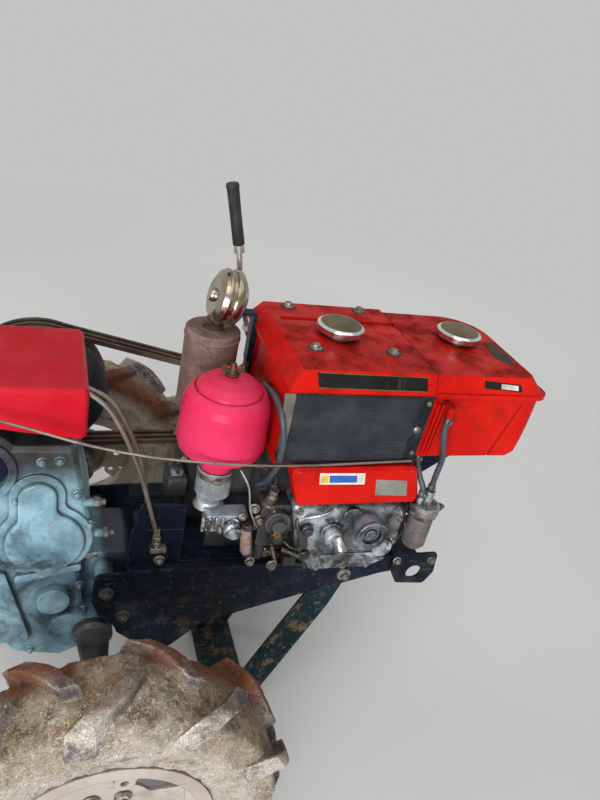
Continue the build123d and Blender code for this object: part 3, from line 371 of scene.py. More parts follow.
MATERIALS = {
    "tyre": mud(),
    "rim": enamel("rim_paint", (178, 170, 162), (160, 148, 136), (112, 90, 70), 0.8, 0.7, 0.5,
                  (136, 114, 92)),
    "hub": casting("hub_iron", (96, 84, 74), (140, 122, 104), (40, 34, 30), 0.5, 0.5, 0.55),
    # top paints shade on the case: darker high up and on its front
    "gear_casting": casting("gear_paint", (96, 128, 141), (150, 186, 201), (26, 32, 34), 0.6, 0.85, 0.24,
                            top=0.9),
    # Its lighter blue-grey clouds are faded paint and also a painted sheen
    "frame_paint": enamel("frame_paint", (14, 20, 30), (30, 46, 62), (76, 92, 106), 0.8, 0.16, 0.24,
                          (84, 84, 84), 0.5, 0.4),
    "handle_paint": enamel("handle_paint", (24, 29, 36), (38, 44, 52), (118, 108, 94), 0.8, 0.25, 0.3),
    # Its colour is darkened to paint the shade that falls on the stand under the machine
    "stand_paint": enamel("stand_paint", (16, 40, 46), (26, 56, 62), (96, 84, 70), 0.8, 0.4, 0.4,
                          (104, 92, 76), 0.0, 0.9),
    "grip": rubber("grip_rubber", (22, 22, 23), (86, 80, 74), 0.5, 0.55),
    "lever_steel": plated("lever_steel", (204, 202, 198), (160, 156, 150), (104, 84, 62), 0.26, 0.4),
    "engine_iron": casting("engine_iron", (36, 34, 34), (78, 76, 76), (12, 11, 11), 0.6, 0.8, 0.34, 0.1),
    "alloy_casting": casting("cast_alloy", (94, 98, 101), (212, 221, 227), (18, 16, 15), 0.5, 1.0, 0.24, 0.5,
                             grime=0.9),
    "belt": rubber("belt_rubber", (44, 34, 30), (112, 88, 70), 0.6, 0.7),
    # Its dark red film on upward faces is painted shade on the tops of the hood and the tank
    "red_paint": enamel("red_paint", (190, 18, 10), (204, 28, 18), (84, 34, 26), 0.7, 0.95, 0.22,
                        (84, 14, 10), 0.3),
    "rose_paint": enamel("rose_paint", (206, 36, 70), (216, 56, 96), (140, 50, 58), 0.35, 0.12, 0.2,
                         (210, 140, 150)),
    "screen_paint": enamel("screen_paint", (28, 31, 34), (40, 44, 48), (96, 98, 100), 0.7, 0.4, 0.45),
    "chrome": plated("chrome", (176, 166, 148), (146, 130, 108), (70, 50, 34), 0.1, 0.35),
    "rusty_steel": rust("rusty_steel", (100, 78, 72), (132, 106, 98), (60, 40, 34)),
    "cable_sheath": plated("cable_sheath", (150, 142, 132), (118, 108, 98), (70, 58, 48), 0.4, 0.6),
    "hose": rubber("hose_rubber", (50, 58, 70), (92, 94, 96), 0.6, 0.35, 0.1),
}


def dress(node_name, material):
    mesh = NODES[node_name].data
    mesh.materials.clear()
    mesh.materials.append(material)


for row in frame["record"]["subparts"]:
    dress(row["node"], MATERIALS[row["material_slot"]])
dress("filler_caps", plated("cap_brass", (124, 114, 74), (96, 86, 58), (60, 48, 32), 0.26, 0.5))
dress("air_canister", casting(
    "canister_alloy", (140, 148, 154), (216, 226, 232), (52, 50, 50), 0.4, 0.5, 0.26, 0.4, grime=0.3))
dress("console", enamel(
    "cover_red", (186, 18, 34), (198, 34, 50), (120, 60, 58), 0.5, 0.1, 0.28, (190, 110, 104)))


# Shapes
SHARP_ABOVE = math.radians(38)
TO_RIGHT, TO_LEFT, UPWARD = (0, -1, 0), (0, 1, 0), (0, 0, 1)


def ring_of(count, r, x, z, first=0.0):
    """Places spread evenly round a circle, as (x, z), from the angle of the first one in degrees."""
    for index in range(count):
        angle = math.radians(first + 360 * index / count)
        yield x + r * math.cos(angle), z + r * math.sin(angle)


class Piece:
    """Collects one piece's mesh, in millimetres from the axle."""

    def __init__(self):
        self.mesh = bmesh.new()

    def skin(self, rings):
        """Joins rings that have the same number of points, and closes both ends."""
        rows = [[self.mesh.verts.new(point) for point in ring] for ring in rings]
        count = len(rows[0])
        for low, high in zip(rows, rows[1:]):
            for index in range(count):
                after = (index + 1) % count
                self.mesh.faces.new((low[index], low[after], high[after], high[index]))
        self.mesh.faces.new(list(reversed(rows[0])))
        self.mesh.faces.new(rows[-1])

    def lathe(self, profile, at, axis, sides, turn=0.0):
        """Turns (radius, height) pairs about an axis through a point."""
        spin = Vector(axis).to_track_quat("Z", "Y").to_matrix()
        angles = [2 * math.pi * index / sides + turn for index in range(sides)]
        rings = []
        for radius, height in profile:
            r = max(radius, 0.01)
            rings.append([Vector(at) + spin @ Vector((r * math.cos(angle), r * math.sin(angle), height))
                          for angle in angles])
        self.skin(rings)

    def bolt(self, at, axis, flats, washer=True, turn=0.3, stud=True):
        """A hex head with a chamfer, on a round washer, with the thread's end in its middle."""
        r = flats / 1.732
        if washer:
            self.lathe([(r * 1.35, -1), (r * 1.35, 1.6), (r * 1.28, 2)], at, axis, 24)
        self.lathe([(r, 1), (r, 2 + flats * 0.42), (r * 0.9, 2 + flats * 0.5)], at, axis, 6, turn)
        if stud:
            top = 2 + flats * 0.5
            end = [(r * 0.5, 1), (r * 0.5, top + flats * 0.18), (r * 0.42, top + flats * 0.24)]
            self.lathe(end, at, axis, 14)

    def rod(self, start, end, r):
        start, end = Vector(start), Vector(end)
        self.lathe([(r, 0), (r, (end - start).length)], start, end - start, 14)

    def tube(self, points, r, sides=10, steps=7):
        """A bent rod or pipe along a smooth line through the points."""
        points = [Vector(point) for point in points]
        ends = [2 * points[0] - points[1]] + points + [2 * points[-1] - points[-2]]
        line = []
        for index in range(1, len(ends) - 2):
            a, b, c, d = ends[index - 1:index + 3]
            for step in range(steps):
                t = step / steps
                line.append(0.5 * (2 * b + (c - a) * t + (2 * a - 5 * b + 4 * c - d) * t * t
                                   + (3 * b - a - 3 * c + d) * t ** 3))
        line.append(points[-1])
        angles = [2 * math.pi * index / sides for index in range(sides)]
        side = None
        rings = []
        for index, centre in enumerate(line):
            ahead = (line[min(index + 1, len(line) - 1)] - line[max(index - 1, 0)]).normalized()
            if side is None:
                side = ahead.orthogonal().normalized()
            side = (side - ahead * side.dot(ahead)).normalized()
            other = ahead.cross(side)
            rings.append([centre + side * (r * math.cos(angle)) + other * (r * math.sin(angle))
                          for angle in angles])
        self.skin(rings)

    def plate(self, outline, thick):
        """A flat plate: its corners, and the vector of its thickness."""
        thick = Vector(thick)
        self.skin([[Vector(p) for p in outline], [Vector(p) + thick for p in outline]])

    def side_plate(self, outline, y, thick):
        """A flat plate that faces sideways: its corners as (x, z), and its thickness to the right."""
        self.plate([(x, y, z) for x, z in outline], (0, -thick, 0))

    def box(self, low, high, soft):
        """A block between two corners, with its edges rounded off."""
        (x0, y0, z0), (x1, y1, z1) = low, high
        before = set(self.mesh.verts)
        self.plate([(x0, y0, z0), (x1, y0, z0), (x1, y1, z0), (x0, y1, z0)], (0, 0, z1 - z0))
        made = set(self.mesh.verts) - before
        edges = list({edge for vertex in made for edge in vertex.link_edges})
        bmesh.ops.bevel(self.mesh, geom=edges, offset=soft, segments=2, affect="EDGES", profile=0.6)

    def coil(self, start, end, r, wire, turns):
        """A spring: the radius of its turns, its wire's radius and how many turns it has."""
        start, end = Vector(start), Vector(end)
        axis = (end - start).normalized()
        side = axis.orthogonal().normalized()
        other = axis.cross(side)
        count = int(turns * 10)
        points = []
        for index in range(count + 1):
            angle = 2 * math.pi * turns * index / count
            points.append(start.lerp(end, index / count) + side * (r * math.cos(angle))
                          + other * (r * math.sin(angle)))
        self.tube(points, wire, 8, 2)

    def done(self, name, slot, material=None, body="chassis"):
        """Makes the object, with the slot's own material if no other is given."""
        mesh = bpy.data.meshes.new(name)
        bmesh.ops.recalc_face_normals(self.mesh, faces=self.mesh.faces)
        self.mesh.to_mesh(mesh)
        self.mesh.free()
        mesh.shade_smooth()
        mesh.set_sharp_from_angle(angle=SHARP_ABOVE)
        mesh.transform(Matrix.Translation((AXLE_X, 0, 0)) @ Matrix.Scale(0.001, 4))
        made = add(name, mesh)
        mesh.materials.append(material or MATERIALS[slot])
        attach(made, body)

    def done_in_zinc(self, name, slot="lever_steel", body="chassis"):
        self.done(name, slot, ZINC, body)


# Tyres: the solid's own form, remeshed fine, with mud caked between the lugs
LUGS, LUG_TURN = 10, 15
LUG_ROOT_R = 240
LUG_ROWS = ((-7, 44, 30), (36.5, 8.8, 36), (75, -44, 42))  # across, middle, width
# Radii: where mud starts, where it gets thick, where it thins out, and the lugs' faces
BEAD_R, WALL_R, CROWN_R, FACE_R = 165, 205, 290, 296


def into_lug(co, outer):
    """How far each point lies inside the nearest lug's outline, negative outside it, and its radius."""
    x = (co[:, 0] - AXLE_X) * 1000
    y = (AXLE_Z - co[:, 2]) * 1000
    across = (co[:, 1] * outer - TRACK_HALF) * 1000
    r = np.hypot(x, y)
    angle = np.arctan2(y, x)
    best = np.full(len(co), -99.0)
    rows, middles, widths = zip(*LUG_ROWS)
    for index in range(2 * LUGS):
        turn = math.radians(LUG_TURN + 180 / LUGS * index)
        along = across if index % 2 == 0 else -across
        phi = (angle - turn + math.pi) % (2 * math.pi) - math.pi
        middle = np.interp(along, rows, middles)
        width = np.interp(along, rows, widths)
        depth = np.minimum(width / 2 - np.abs(r * np.sin(phi) - middle), along - rows[0])
        depth[np.abs(phi) > 1.2] = -99
        best = np.maximum(best, depth)
    return np.minimum(best, r - LUG_ROOT_R), r


def vectors(rows, key):
    flat = np.empty(len(rows) * 3, np.float32)
    rows.foreach_get(key, flat)
    return flat.reshape(-1, 3)


def muddy_tyre(side):
    """The tyre with mud, thick in its troughs and thin on its lugs, in place of the CAD node."""
    node = "tyre_" + side
    outer = 1 if side == "left" else -1
    middle = TRACK_HALF * outer
    made = add("mud_tyre_" + side, NODES[node].data.copy())
    remesh = made.modifiers.new("remesh", "REMESH")
    remesh.mode = "VOXEL"
    remesh.voxel_size = 0.0040
    depsgraph = bpy.context.evaluated_depsgraph_get()
    mesh = bpy.data.meshes.new_from_object(made.evaluated_get(depsgraph))
    made.modifiers.clear()
    made.data = mesh
    co = vectors(mesh.vertices, "co")
    normals = vectors(mesh.vertex_normals, "vector")
    depth, radius = into_lug(co, outer)
    moved = co.copy()
    for index in range(len(co)):
        if radius[index] < BEAD_R:
            continue
        place = Vector([float(v) for v in co[index]])
        place.y += middle
        lumps = noise.fractal(place * 38, 0.9, 2.1, 4)
        grain = noise.fractal(place * 160, 0.8, 2.0, 2)
        trough = min(max(0.5 - depth[index] / 8, 0.0), 1.0)
        low = min(max((CROWN_R - radius[index]) / 16, 0.0), 1.0)
        wall = min(max((radius[index] - WALL_R) / 30, 0.0), 1.0)
        fill = (0.5 + 0.9 * noise.noise(place * 17)) * 6.5 * wall
        caked = trough * low * (max(fill, 0.0) + lumps * 3.2 + grain * 1.2)
        amount = caked + (1 - trough) * (lumps * 0.7 + grain * 0.3)
        if radius[index] > FACE_R:
            amount = min(amount, 0.4)
        moved[index] += normals[index] * amount / 1000
    moved[:, 2] = np.maximum(moved[:, 2], 0.0002)
    mesh.vertices.foreach_set("co", moved.reshape(-1))
    for name, values in (("lug_depth", 0.5 + depth / 24), ("wall_depth", (262 - radius) / 34)):
        shares = mesh.attributes.new(name, "FLOAT", "POINT")
        shares.data.foreach_set("value", np.clip(values, 0, 1).astype(np.float32))
    mesh.shade_smooth()
    mesh.update()
    mesh.materials.clear()
    mesh.materials.append(MATERIALS["tyre"])
    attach(made, "wheel_" + side)
    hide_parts(node)


for side in ("left", "right"):
    muddy_tyre(side)

# Small materials of their own
DARK_OIL = casting("dark_oil", (26, 25, 25), (70, 68, 66), (12, 11, 11), 0.4, 0.6, 0.28, 0.15, 0.4)
ZINC = plated("zinc", (158, 152, 142), (116, 106, 94), (52, 42, 34), 0.32, 0.85)
BRASS = plated("brass", (160, 128, 76), (120, 92, 54), (58, 44, 32), 0.34, 0.6)
DULL_BRASS = plated("dull_brass", (112, 92, 66), (84, 68, 50), (40, 32, 26), 0.4, 0.7)
BLACK = enamel("black_strip", (22, 21, 22), (36, 34, 34), (150, 130, 90), 0.5, 0.3, 0.3)
SILVER_PLATE = plated("blank_plate", (196, 196, 190), (172, 170, 162), (110, 96, 80), 0.3, 0.35)
MESH_WIRE = rubber("mesh_wire", (36, 42, 48), (66, 72, 78), 0.8, 0.4)


def flat_colour(name, colour, other):
    """A printed field, blotched a little."""
    s = Shader(name)
    tone = s.mix(s.step(s.noise(60, 4), 0.4, 0.7), colour, other)
    return s.finish(tone, s.step(s.noise(30), 0.3, 0.7, 0.3, 0.5), 0.0, s.bump(s.noise(200), 0.05, 0.0005))


def glass(name, colour):
    """A fluted lens: blue-grey glass over its bright reflector."""
    s = Shader(name)
    flutes = s.node("ShaderNodeTexWave", wave_type="BANDS", bands_direction="Y")
    s.put(flutes.inputs["Vector"], s.place)
    flutes.inputs["Scale"].default_value = 55
    tone = s.mix(s.step(s.noise(30, 3), 0.35, 0.7), colour, (150, 166, 190))
    return s.finish(tone, 0.08, 0.35, s.bump(flutes.outputs["Fac"], 0.5, 0.001), Coat_Weight=1.0)


# Hood: bolts on washers, blank strips, bright corner strip, mesh and its end plate
LID_TOP, LID_EDGE, TANK_TOP, TANK_EDGE = 956, 922, 953, 918
LID_SIDE, TANK_SIDE = -170.5, -162.1
# How steeply the slopes from edge to top rise, 13 and 9 mm wide
LID_TILT = (LID_TOP - LID_EDGE) / 13
TANK_TILT = (TANK_TOP - TANK_EDGE) / 9


def on_lid(x, z):
    """A place on the lid's sloping right side."""
    return Vector((x, LID_SIDE + (z - LID_EDGE) / LID_TILT, z))


def on_tank(x, z):
    """A place on the sloping right side of the tank's top."""
    return Vector((x, TANK_SIDE + (z - TANK_EDGE) / TANK_TILT, z))


hood = Piece()
pads = Piece()
for x, y in ((371, 118), (370, -72), (532, -77), (533, 118)):
    hood.bolt((x, y, LID_TOP + 0.6), UPWARD, 14, turn=x * 0.1, stud=False)
    pads.lathe([(16, -1), (16, 1.2), (15, 1.8), (6, 1.8)], (x, y, LID_TOP), UPWARD, 28)
hood.done_in_zinc("hood_bolts")
pads.done("hood_bolt_pads", "grip")

strip = Piece()
strip.plate([on_lid(x, z) for x, z in ((351, 926), (573, 924), (569, 950), (346, 952))], (0, -0.7, 0.2))
strip.plate([on_tank(x, z) for x, z in ((703, 930), (794, 924), (790, 939), (701, 945))], (0, -0.7, 0.2))
strip.done("hood_strip", "red_paint", BLACK)
scrap = Piece()
scrap.plate([on_tank(x, z) for x, z in ((742, 930), (784, 927), (781, 937), (741, 940))], (0, -1.0, 0.3))
scrap.done("tank_block_white", "red_paint",
           flat_colour("tank_block_ink", (214, 206, 200), (180, 160, 150)))
edging = Piece()
for z0, z1 in ((924.6, 926.0), (949.8, 951.4)):
    outline = ((349, z0 + 1), (573, z0 - 1), (573, z1 - 1), (349, z1 + 1))
    edging.plate([on_lid(x, z) for x, z in outline], (0, -1.0, 0.3))
edging.done("hood_strip_edging", "red_paint", BRASS)

corner = Piece()
corner.side_plate(((289, 914), (311, 914), (313, 800), (309, 766), (301, 766)), LID_SIDE, 1.6)
corner.done("screen_corner_strip", "chrome", ZINC)

wires = Piece()
MESH_STEP, WIRE = 3.3, 1.5
rear, fore, low, high = 312, 576, 767, 912.5
for index in range(int((fore - rear) / MESH_STEP)):
    x = rear + index * MESH_STEP
    wires.side_plate(((x, low), (x + WIRE, low), (x + WIRE, high), (x, high)), -171.2, 0.9)
for index in range(int((high - low) / MESH_STEP)):
    z = low + index * MESH_STEP
    wires.side_plate(((rear, z), (fore, z), (fore, z + WIRE), (rear, z + WIRE)), -171.8, 0.9)
wires.done("screen_mesh", "screen_paint", MESH_WIRE)

border = Piece()
for low, high in ((765, 769), (910, 914)):
    border.box((310, -173.4, low), (595, -170.2, high), 0.8)
border.side_plate(((566, 912), (588, 912), (592, 900), (588, 767), (560, 767)), -170.4, 3.0)
border.done("screen_border", "screen_paint")
knob = Piece()
knob.lathe([(8, 0), (8, 3), (5, 5), (2, 6)], (573, -173, 842), TO_RIGHT, 20)
for x, z in ((576, 790), (580, 902)):
    knob.bolt((x, -173, z), TO_RIGHT, 9, False, stud=False)
knob.done_in_zinc("screen_knob")

ridges = Piece()
for x, lean in ((603, 5), (611, 7), (619, 10)):
    ridges.tube([(x, -169.8, 778), (x + lean * 0.4, -170.2, 830), (x + lean, -170, 898)], 2.6, 8)
ridges.done("screen_ridges", "red_paint")
slot = Piece()
outline = ((794, 0), (783, -34), (777, -68), (793, -94), (808, -95), (814, -62), (812, -28), (804, -4))
slot.plate([(x, y, TANK_TOP - 0.4) for x, y in outline], (0, 0, 0.9))
slot.done("tank_slot", "screen_paint", BLACK)
slot_edge = Piece()
line = ((805, -2), (793, 2), (782, -34), (776, -68), (790, -94))
slot_edge.tube([(x, y, TANK_TOP) for x, y in line], 2.0, 8)
slot_edge.done("tank_slot_edge", "lever_steel", DULL_BRASS)

cap_rims = Piece()
for x, y, top in ((442, -4, LID_TOP), (721, 7, TANK_TOP)):
    cap_rims.lathe([(46.6, 8.8), (47.7, 9.4), (47.7, 20.2), (42, 24), (41, 23.6)], (x, y, top), UPWARD, 48)
cap_rims.done("cap_rims", "chrome", plated(
    "bright_chrome", (238, 238, 240), (206, 206, 210), (92, 76, 58), 0.07, 0.15))

# Blank plates and a plain coloured block on the side box
BOX_Y = -190.4
block_table = (  # name, corners from lower left, colour, other colour
    ("box_block_white", ((390, 726), (486, 724), (481, 751), (386, 753)), (222, 218, 206), (196, 188, 170)),
    ("box_block_blue", ((410, 730), (468, 729), (465, 746), (407, 747)), (34, 84, 168), (52, 100, 176)),
    ("box_block_yellow", ((393, 730), (408, 730), (405, 747), (390, 748)), (214, 178, 60), (196, 160, 66)))
for index, (name, corners, colour, other) in enumerate(block_table):
    sticker = Piece()
    sticker.side_plate(corners, BOX_Y, 0.4 + 0.15 * index)
    sticker.done(name, "red_paint", flat_colour(name + "_ink", colour, other))
plate = Piece()
plate.side_plate(((516, 697), (588, 693), (578, 731), (508, 735)), BOX_Y, 0.9)
plate.done("box_plate", "lever_steel", SILVER_PLATE)
rivets = Piece()
for x, z in ((513, 730), (574, 727), (520, 701), (583, 698)):
    rivets.lathe([(2.4, 0), (2.2, 1), (1.2, 1.8)], (x, BOX_Y - 0.9, z), TO_RIGHT, 12)
for x, z in ((346, 752), (584, 752)):
    rivets.bolt((x, BOX_Y + 6, z), (0, -0.7, 0.7), 8, False, stud=False)
rivets.done_in_zinc("box_rivets")

# Engine side: bolts round the gear case and what sits between it and the pump
case_bolts = Piece()
for x, z in ((-128, 38), (-116, -22), (-104, -74), (-62, -114), (0, -115), (54, -114), (86, -96), (102, -50),
             (101, 10)):
    case_bolts.bolt((CRANK[0] + x, -175, CRANK[1] + z), TO_RIGHT, 10, turn=x * 0.07, stud=False)
case_bolts.done_in_zinc("gear_case_bolts")

sleeve = Piece()
sleeve.lathe([(27.3, 0), (28, 1), (28, 33), (27.3, 34)], (520, -178, 615), TO_RIGHT, 40)
sleeve.lathe([(17.3, 0), (17.9, 1), (17.9, 22), (17.3, 23)], (448, -185, 596), TO_RIGHT, 32)
sleeve.done("boss_sleeves", "alloy_casting", casting(
    "bright_alloy", (150, 160, 168), (222, 232, 238), (66, 64, 62), 0.35, 0.5, 0.24, 0.4, grime=0.2))

linkage = Piece()
linkage.tube([(376, -166, 640), (372, -178, 618), (382, -182, 590), (390, -180, 552), (404, -176, 520),
              (416, -170, 492)], 4.2)
linkage.tube([(360, -160, 560), (372, -172, 552), (388, -184, 556)], 3.4)
linkage.side_plate(((380, 604), (396, 600), (404, 560), (392, 556), (382, 574)), -180, 5)
linkage.lathe([(13, 0), (13, 8), (9, 10), (9, 16), (5, 17)], (394, -178, 606), TO_RIGHT, 20)
linkage.lathe([(10, 0), (10, 7), (7, 9), (7, 13)], (404, -176, 538), TO_RIGHT, 18)
linkage.box((366, -172, 500), (392, -140, 524), 3)
linkage.box((352, -164, 586), (374, -150, 630), 3)
linkage.lathe([(16, 0), (16, 6), (11, 8), (11, 15), (6, 16)], (340, -160, 576), TO_RIGHT, 20)
linkage.done("governor_linkage", "engine_iron", DARK_OIL)

shelf_foot = Piece()
shelf_foot.box((54, -142, 480.3), (108, -123.4, 484), 1)
shelf_foot.done("shelf_foot", "frame_paint")

springs = Piece()
springs.coil((352, -176, 552), (388, -184, 538), 4.4, 1.1, 9)
springs.coil((330, -170, 560), (344, -176, 520), 4.0, 1.0, 8)
springs.done_in_zinc("governor_springs")

bright = Piece()
bright.tube([(379, -174, 626), (398, -184, 640), (424, -188, 650), (438, -182, 654)], 3.4)
bright.lathe([(6, 0), (6, 6), (4, 7)], (379, -173, 626), TO_RIGHT, 16)
bright.tube([(244, -148, 731), (262, -160, 700), (272, -168, 650), (290, -166, 610), (300, -160, 600)], 2.2)
bright.lathe([(12, 0), (13, 4), (13, 26), (10, 30), (6, 31)], (452, -205, 600), (0.22, -0.72, -0.5), 22)
bright.done("bright_levers", "lever_steel")

unions = Piece()
union_table = (  # place, axis, width over the flats
    (286, -152, 640, (-0.3, -1, 0.2), 14), (300, -152, 612, TO_RIGHT, 16),
    (324, -158, 640, TO_RIGHT, 12), (258, -136, 592, (-0.5, -1, 0), 13),
    (228, -136, 578, (0, -1, -0.4), 12), (350, -150, 486, TO_RIGHT, 15),
    (300, -150, 500, TO_RIGHT, 14), (270, -140, 610, (0, -1, 0.2), 11), (204, -136, 596, TO_RIGHT, 11))
for x, y, z, axis, flats in union_table:
    unions.bolt((x, y, z), axis, flats, turn=z * 0.1)
unions.lathe([(15, 0), (15, 8), (12, 10), (12, 30), (9, 32), (9, 44)], (316, -146, 640), (0.1, -0.1, 1), 20)
unions.done("pump_unions", "alloy_casting", ZINC)

pump_brass = Piece()
pump_brass.lathe([(9, 0), (10, 4), (10, 12), (8, 14)], (330, -176, 598), (0, -1, 0.2), 6)
pump_brass.lathe([(8, 0), (8, 9), (5, 10)], (338, -158, 536), TO_RIGHT, 6)
pump_brass.done("pump_brass", "lever_steel", BRASS)

plunger = Piece()
plunger.lathe([(9, 0), (12.6, 3), (12.6, 60), (10, 66), (7, 67)], (278, -150, 590), (0.16, 0, -1), 22)
plunger.done("pump_plunger", "engine_iron", rust(
    "pink_plunger", (150, 118, 112), (190, 160, 152), (90, 66, 60)))

pipe = Piece()
pipe.tube([(322, -142, 682), (318, -140, 712), (286, -128, 724), (230, -112, 716), (196, -70, 700),
           (190, -40, 690)], 3.4, 10, 8)
pipe.lathe([(8, -6), (8, 8), (6, 10)], (320, -142, 684), UPWARD, 6)
pipe.lathe([(8, -8), (8, 6), (6, 8)], (190, -40, 694), (0, -0.8, 0.6), 6)
pipe.done("delivery_pipe", "lever_steel", DARK_OIL)

elbow_fins = Piece()
for index in range(4):
    x = 190 + 13 * index
    elbow_fins.box((x, -139, 574), (x + 6, -130, 606), 1.5)
elbow_fins.box((238, -140, 560), (286, -128, 590), 4)
elbow_fins.lathe([(19, 0), (19, 12), (14, 16), (14, 22)], (252, -136, 580), (0.1, -1, 0), 22)
elbow_fins.done("elbow_castings", "alloy_casting")

front = Piece()
front.lathe([(21, 0), (21, 10), (16, 12), (16, 20), (7, 21)], (628, -112, 560), TO_RIGHT, 22)
front.box((604, -140, 590), (640, -112, 640), 4)
front.box((612, -132, 500), (640, -112, 540), 4)
front.tube([(612, -128, 632), (624, -150, 610), (632, -152, 560), (620, -140, 520)], 4)
for x, z in ((612, 600), (632, 630), (622, 512)):
    front.bolt((x, -140, z), TO_RIGHT, 10)
front.done("front_fittings", "engine_iron", DARK_OIL)

# Fuel filter: clamp ring with its screw and neck, the bowl's skin and the hose clips
FILTER = (645, -184)
ring = Piece()
ring.lathe([(30.5, 0), (31.5, 1), (31.5, 14), (30.5, 15), (26, 15), (26, 0)], (*FILTER, 648), UPWARD, 32)
ring.box((666, -192, 650), (684, -176, 661), 2)
ring.bolt((684, -184, 655.5), (1, 0, 0), 9)
ring.lathe([(12, 0), (12, 10), (9, 12), (9, 20)], (*FILTER, 668), UPWARD, 6)
ring.done("filter_ring", "alloy_casting", ZINC)
bowl = Piece()
bowl.lathe([(8, -4), (10, 0), (20, 1), (25.8, 10), (25.8, 78), (24, 80)], (*FILTER, 556), UPWARD, 32)
bowl.done("filter_bowl", "alloy_casting", rust(
    "filter_bowl_skin", (82, 70, 70), (112, 102, 102), (50, 40, 38)))
clips = Piece()
for x, y, z in ((628, -184, 870), (645, -184, 710), (616, -148, 760), (628, -184, 694)):
    clips.lathe([(7.2, -4), (7.8, -3.5), (7.8, 3.5), (7.2, 4)], (x, y, z), UPWARD, 24)
    clips.box((x - 3, y - 12, z - 3.5), (x + 3, y - 6.5, z + 3.5), 1)
clips.done_in_zinc("hose_clips")

# Gearbox: bolts round the halves, nuts on the studs and the drum's bolts
gearbox = Piece()
for x, z in ((-107, 723), (-78, 725), (-44, 648), (-19, 575), (-150, 640), (-196, 600), (-196, 520),
             (-30, 420), (-52, 262), (-120, 246), (-20, 350)):
    for side in (-1, 1):
        gearbox.bolt((x, side * 104.5, z), (0, side, 0), 13, turn=x * 0.2)
gearbox.done("gearbox_bolts", "gear_casting", casting(
    "bolt_paint", (70, 92, 100), (150, 172, 180), (30, 34, 36), 0.3, 0.6, 0.32, 0.2))
studs = Piece()
for x, z in ((-1, 622), (20, 546), (-8, 492)):
    studs.lathe([(11, 0), (11, 9), (10, 10)], (x - 12, -96, z), (1, 0, 0), 6, 0.2)
    studs.lathe([(6, 0), (6, 9), (5, 10)], (x, -96, z), (1, 0, 0), 14)
studs.done_in_zinc("case_stud_nuts")
drum_bolts = Piece()
for side in (-1, 1):
    for x, z in ring_of(5, 34, 0, AXLE_UP, 20):
        drum_bolts.bolt((x, side * 143, z), (0, side, 0), 8, False, stud=False)
    for x, z in ((54, 373), (18, 438)):
        drum_bolts.bolt((x, side * 152, z), (0, side, 0), 19)
drum_bolts.done("axle_housing_bolts", "hub", DARK_OIL)

# Clutch cover's ring: dark inside
inner_ring = Piece()
inner_ring.lathe([(53, 0), (53, 1), (30, 2), (26, 2)], (-216, -90.4, 704), TO_RIGHT, 40)
inner_ring.done("clutch_recess", "gear_casting", enamel(
    "navy_recess", (20, 24, 44), (34, 38, 60), (80, 84, 96), 0.3, 0.2, 0.3))

# Cable ends, and their bracket's bolt and block
ferrules = Piece()
for (x, y, z), low in (((106, -130, 566), (109, -130, 532)), ((92, -102, 560), (94, -102, 528))):
    ferrules.rod((x, y, z + 16), (x, y, z - 4), 6.4)
    ferrules.rod((x, y, z - 2), low, 4.2)
    ferrules.lathe([(9, 0), (9, 8), (8, 9)], (x + 1, y, z - 14), UPWARD, 6)
    ferrules.lathe([(9, 0), (9, 7), (8, 8)], (x + 1, y, z - 26), UPWARD, 6)
ferrules.bolt((119, -123, 492), TO_RIGHT, 15)
ferrules.box((96, -138, 522), (128, -118, 534), 2)
ferrules.done_in_zinc("cable_ends")

# Air cleaner: wing nut over its stud, and the canister's strap
CLEANER = (211, -96)
wing = Piece()
wing.lathe([(13, 0), (13, 2), (8.6, 3), (8.6, 13), (6, 15), (6, 21), (4, 22)],
           (*CLEANER, 908.6), UPWARD, 22)
ear = ((7, 4), (14, 4), (21, 8), (21, 18), (15, 20), (9, 12))
for side in (-1, 1):
    wing.side_plate([(CLEANER[0] + side * x, 908 + z) for x, z in ear], CLEANER[1] - 3.5, -7)
wing.done("wing_nut", "lever_steel", DULL_BRASS)
strap = Piece()
strap.lathe([(35.6, 0), (36.4, 0.5), (36.4, 11), (35.6, 11.5)], (*CLEANER, 686), UPWARD, 40)
strap.box((206, -138, 687), (216, -130, 697), 1.5)
strap.bolt((206, -134, 692), (-1, 0, 0), 8)
strap.done_in_zinc("canister_strap")

# Muffler: rolled seams and a dark throat
MUFFLER = (214, 96)
seams = Piece()
for z in (734, 892):
    seams.lathe([(55, -4), (57.6, -2), (57.6, 2), (55, 4)], (*MUFFLER, z), UPWARD, 48)
seams.box((158, 90, 742), (162, 102, 886), 1)
seams.lathe([(24, 0), (24, 3), (22, 4), (22, -20)], (*MUFFLER, 905), UPWARD, 30)
for x in (184, 244):
    seams.bolt((x, 74, 718), UPWARD, 13)
seams.done("muffler_seams", "rusty_steel")
soot = Piece()
soot.lathe([(21.6, 0), (21.6, 0.6)], (*MUFFLER, 869), UPWARD, 30)
soot.done("muffler_throat", "rusty_steel", DARK_OIL)

# Headlamp: glass, rolled bezel, and the rings behind it
lean = math.radians(12)
LAMP_AXIS = Vector((math.cos(lean), 0, -math.sin(lean)))
LAMP_AT = Vector((226, 100, 973))
lens = Piece()
lens.lathe([(54, 18.4), (53.6, 23), (50, 30), (41, 37), (26, 42.5), (10, 45), (0, 45.4)],
           LAMP_AT, LAMP_AXIS, 48)
lens.done("lamp_lens", "chrome", glass("lamp_glass", (70, 88, 132)))
bezel = Piece()
bezel.lathe([(59.4, 8), (60.4, 10), (60.4, 20), (58, 23.4), (54.4, 24), (53, 21)], LAMP_AT, LAMP_AXIS, 56)
bezel.lathe([(57.2, -8), (58.2, -6), (58.2, -2), (57.2, 0)], LAMP_AT, LAMP_AXIS, 56)
bezel.lathe([(12, -30), (14, -27), (14, -21)], LAMP_AT, LAMP_AXIS, 24)
bezel.done("lamp_bezel", "chrome")

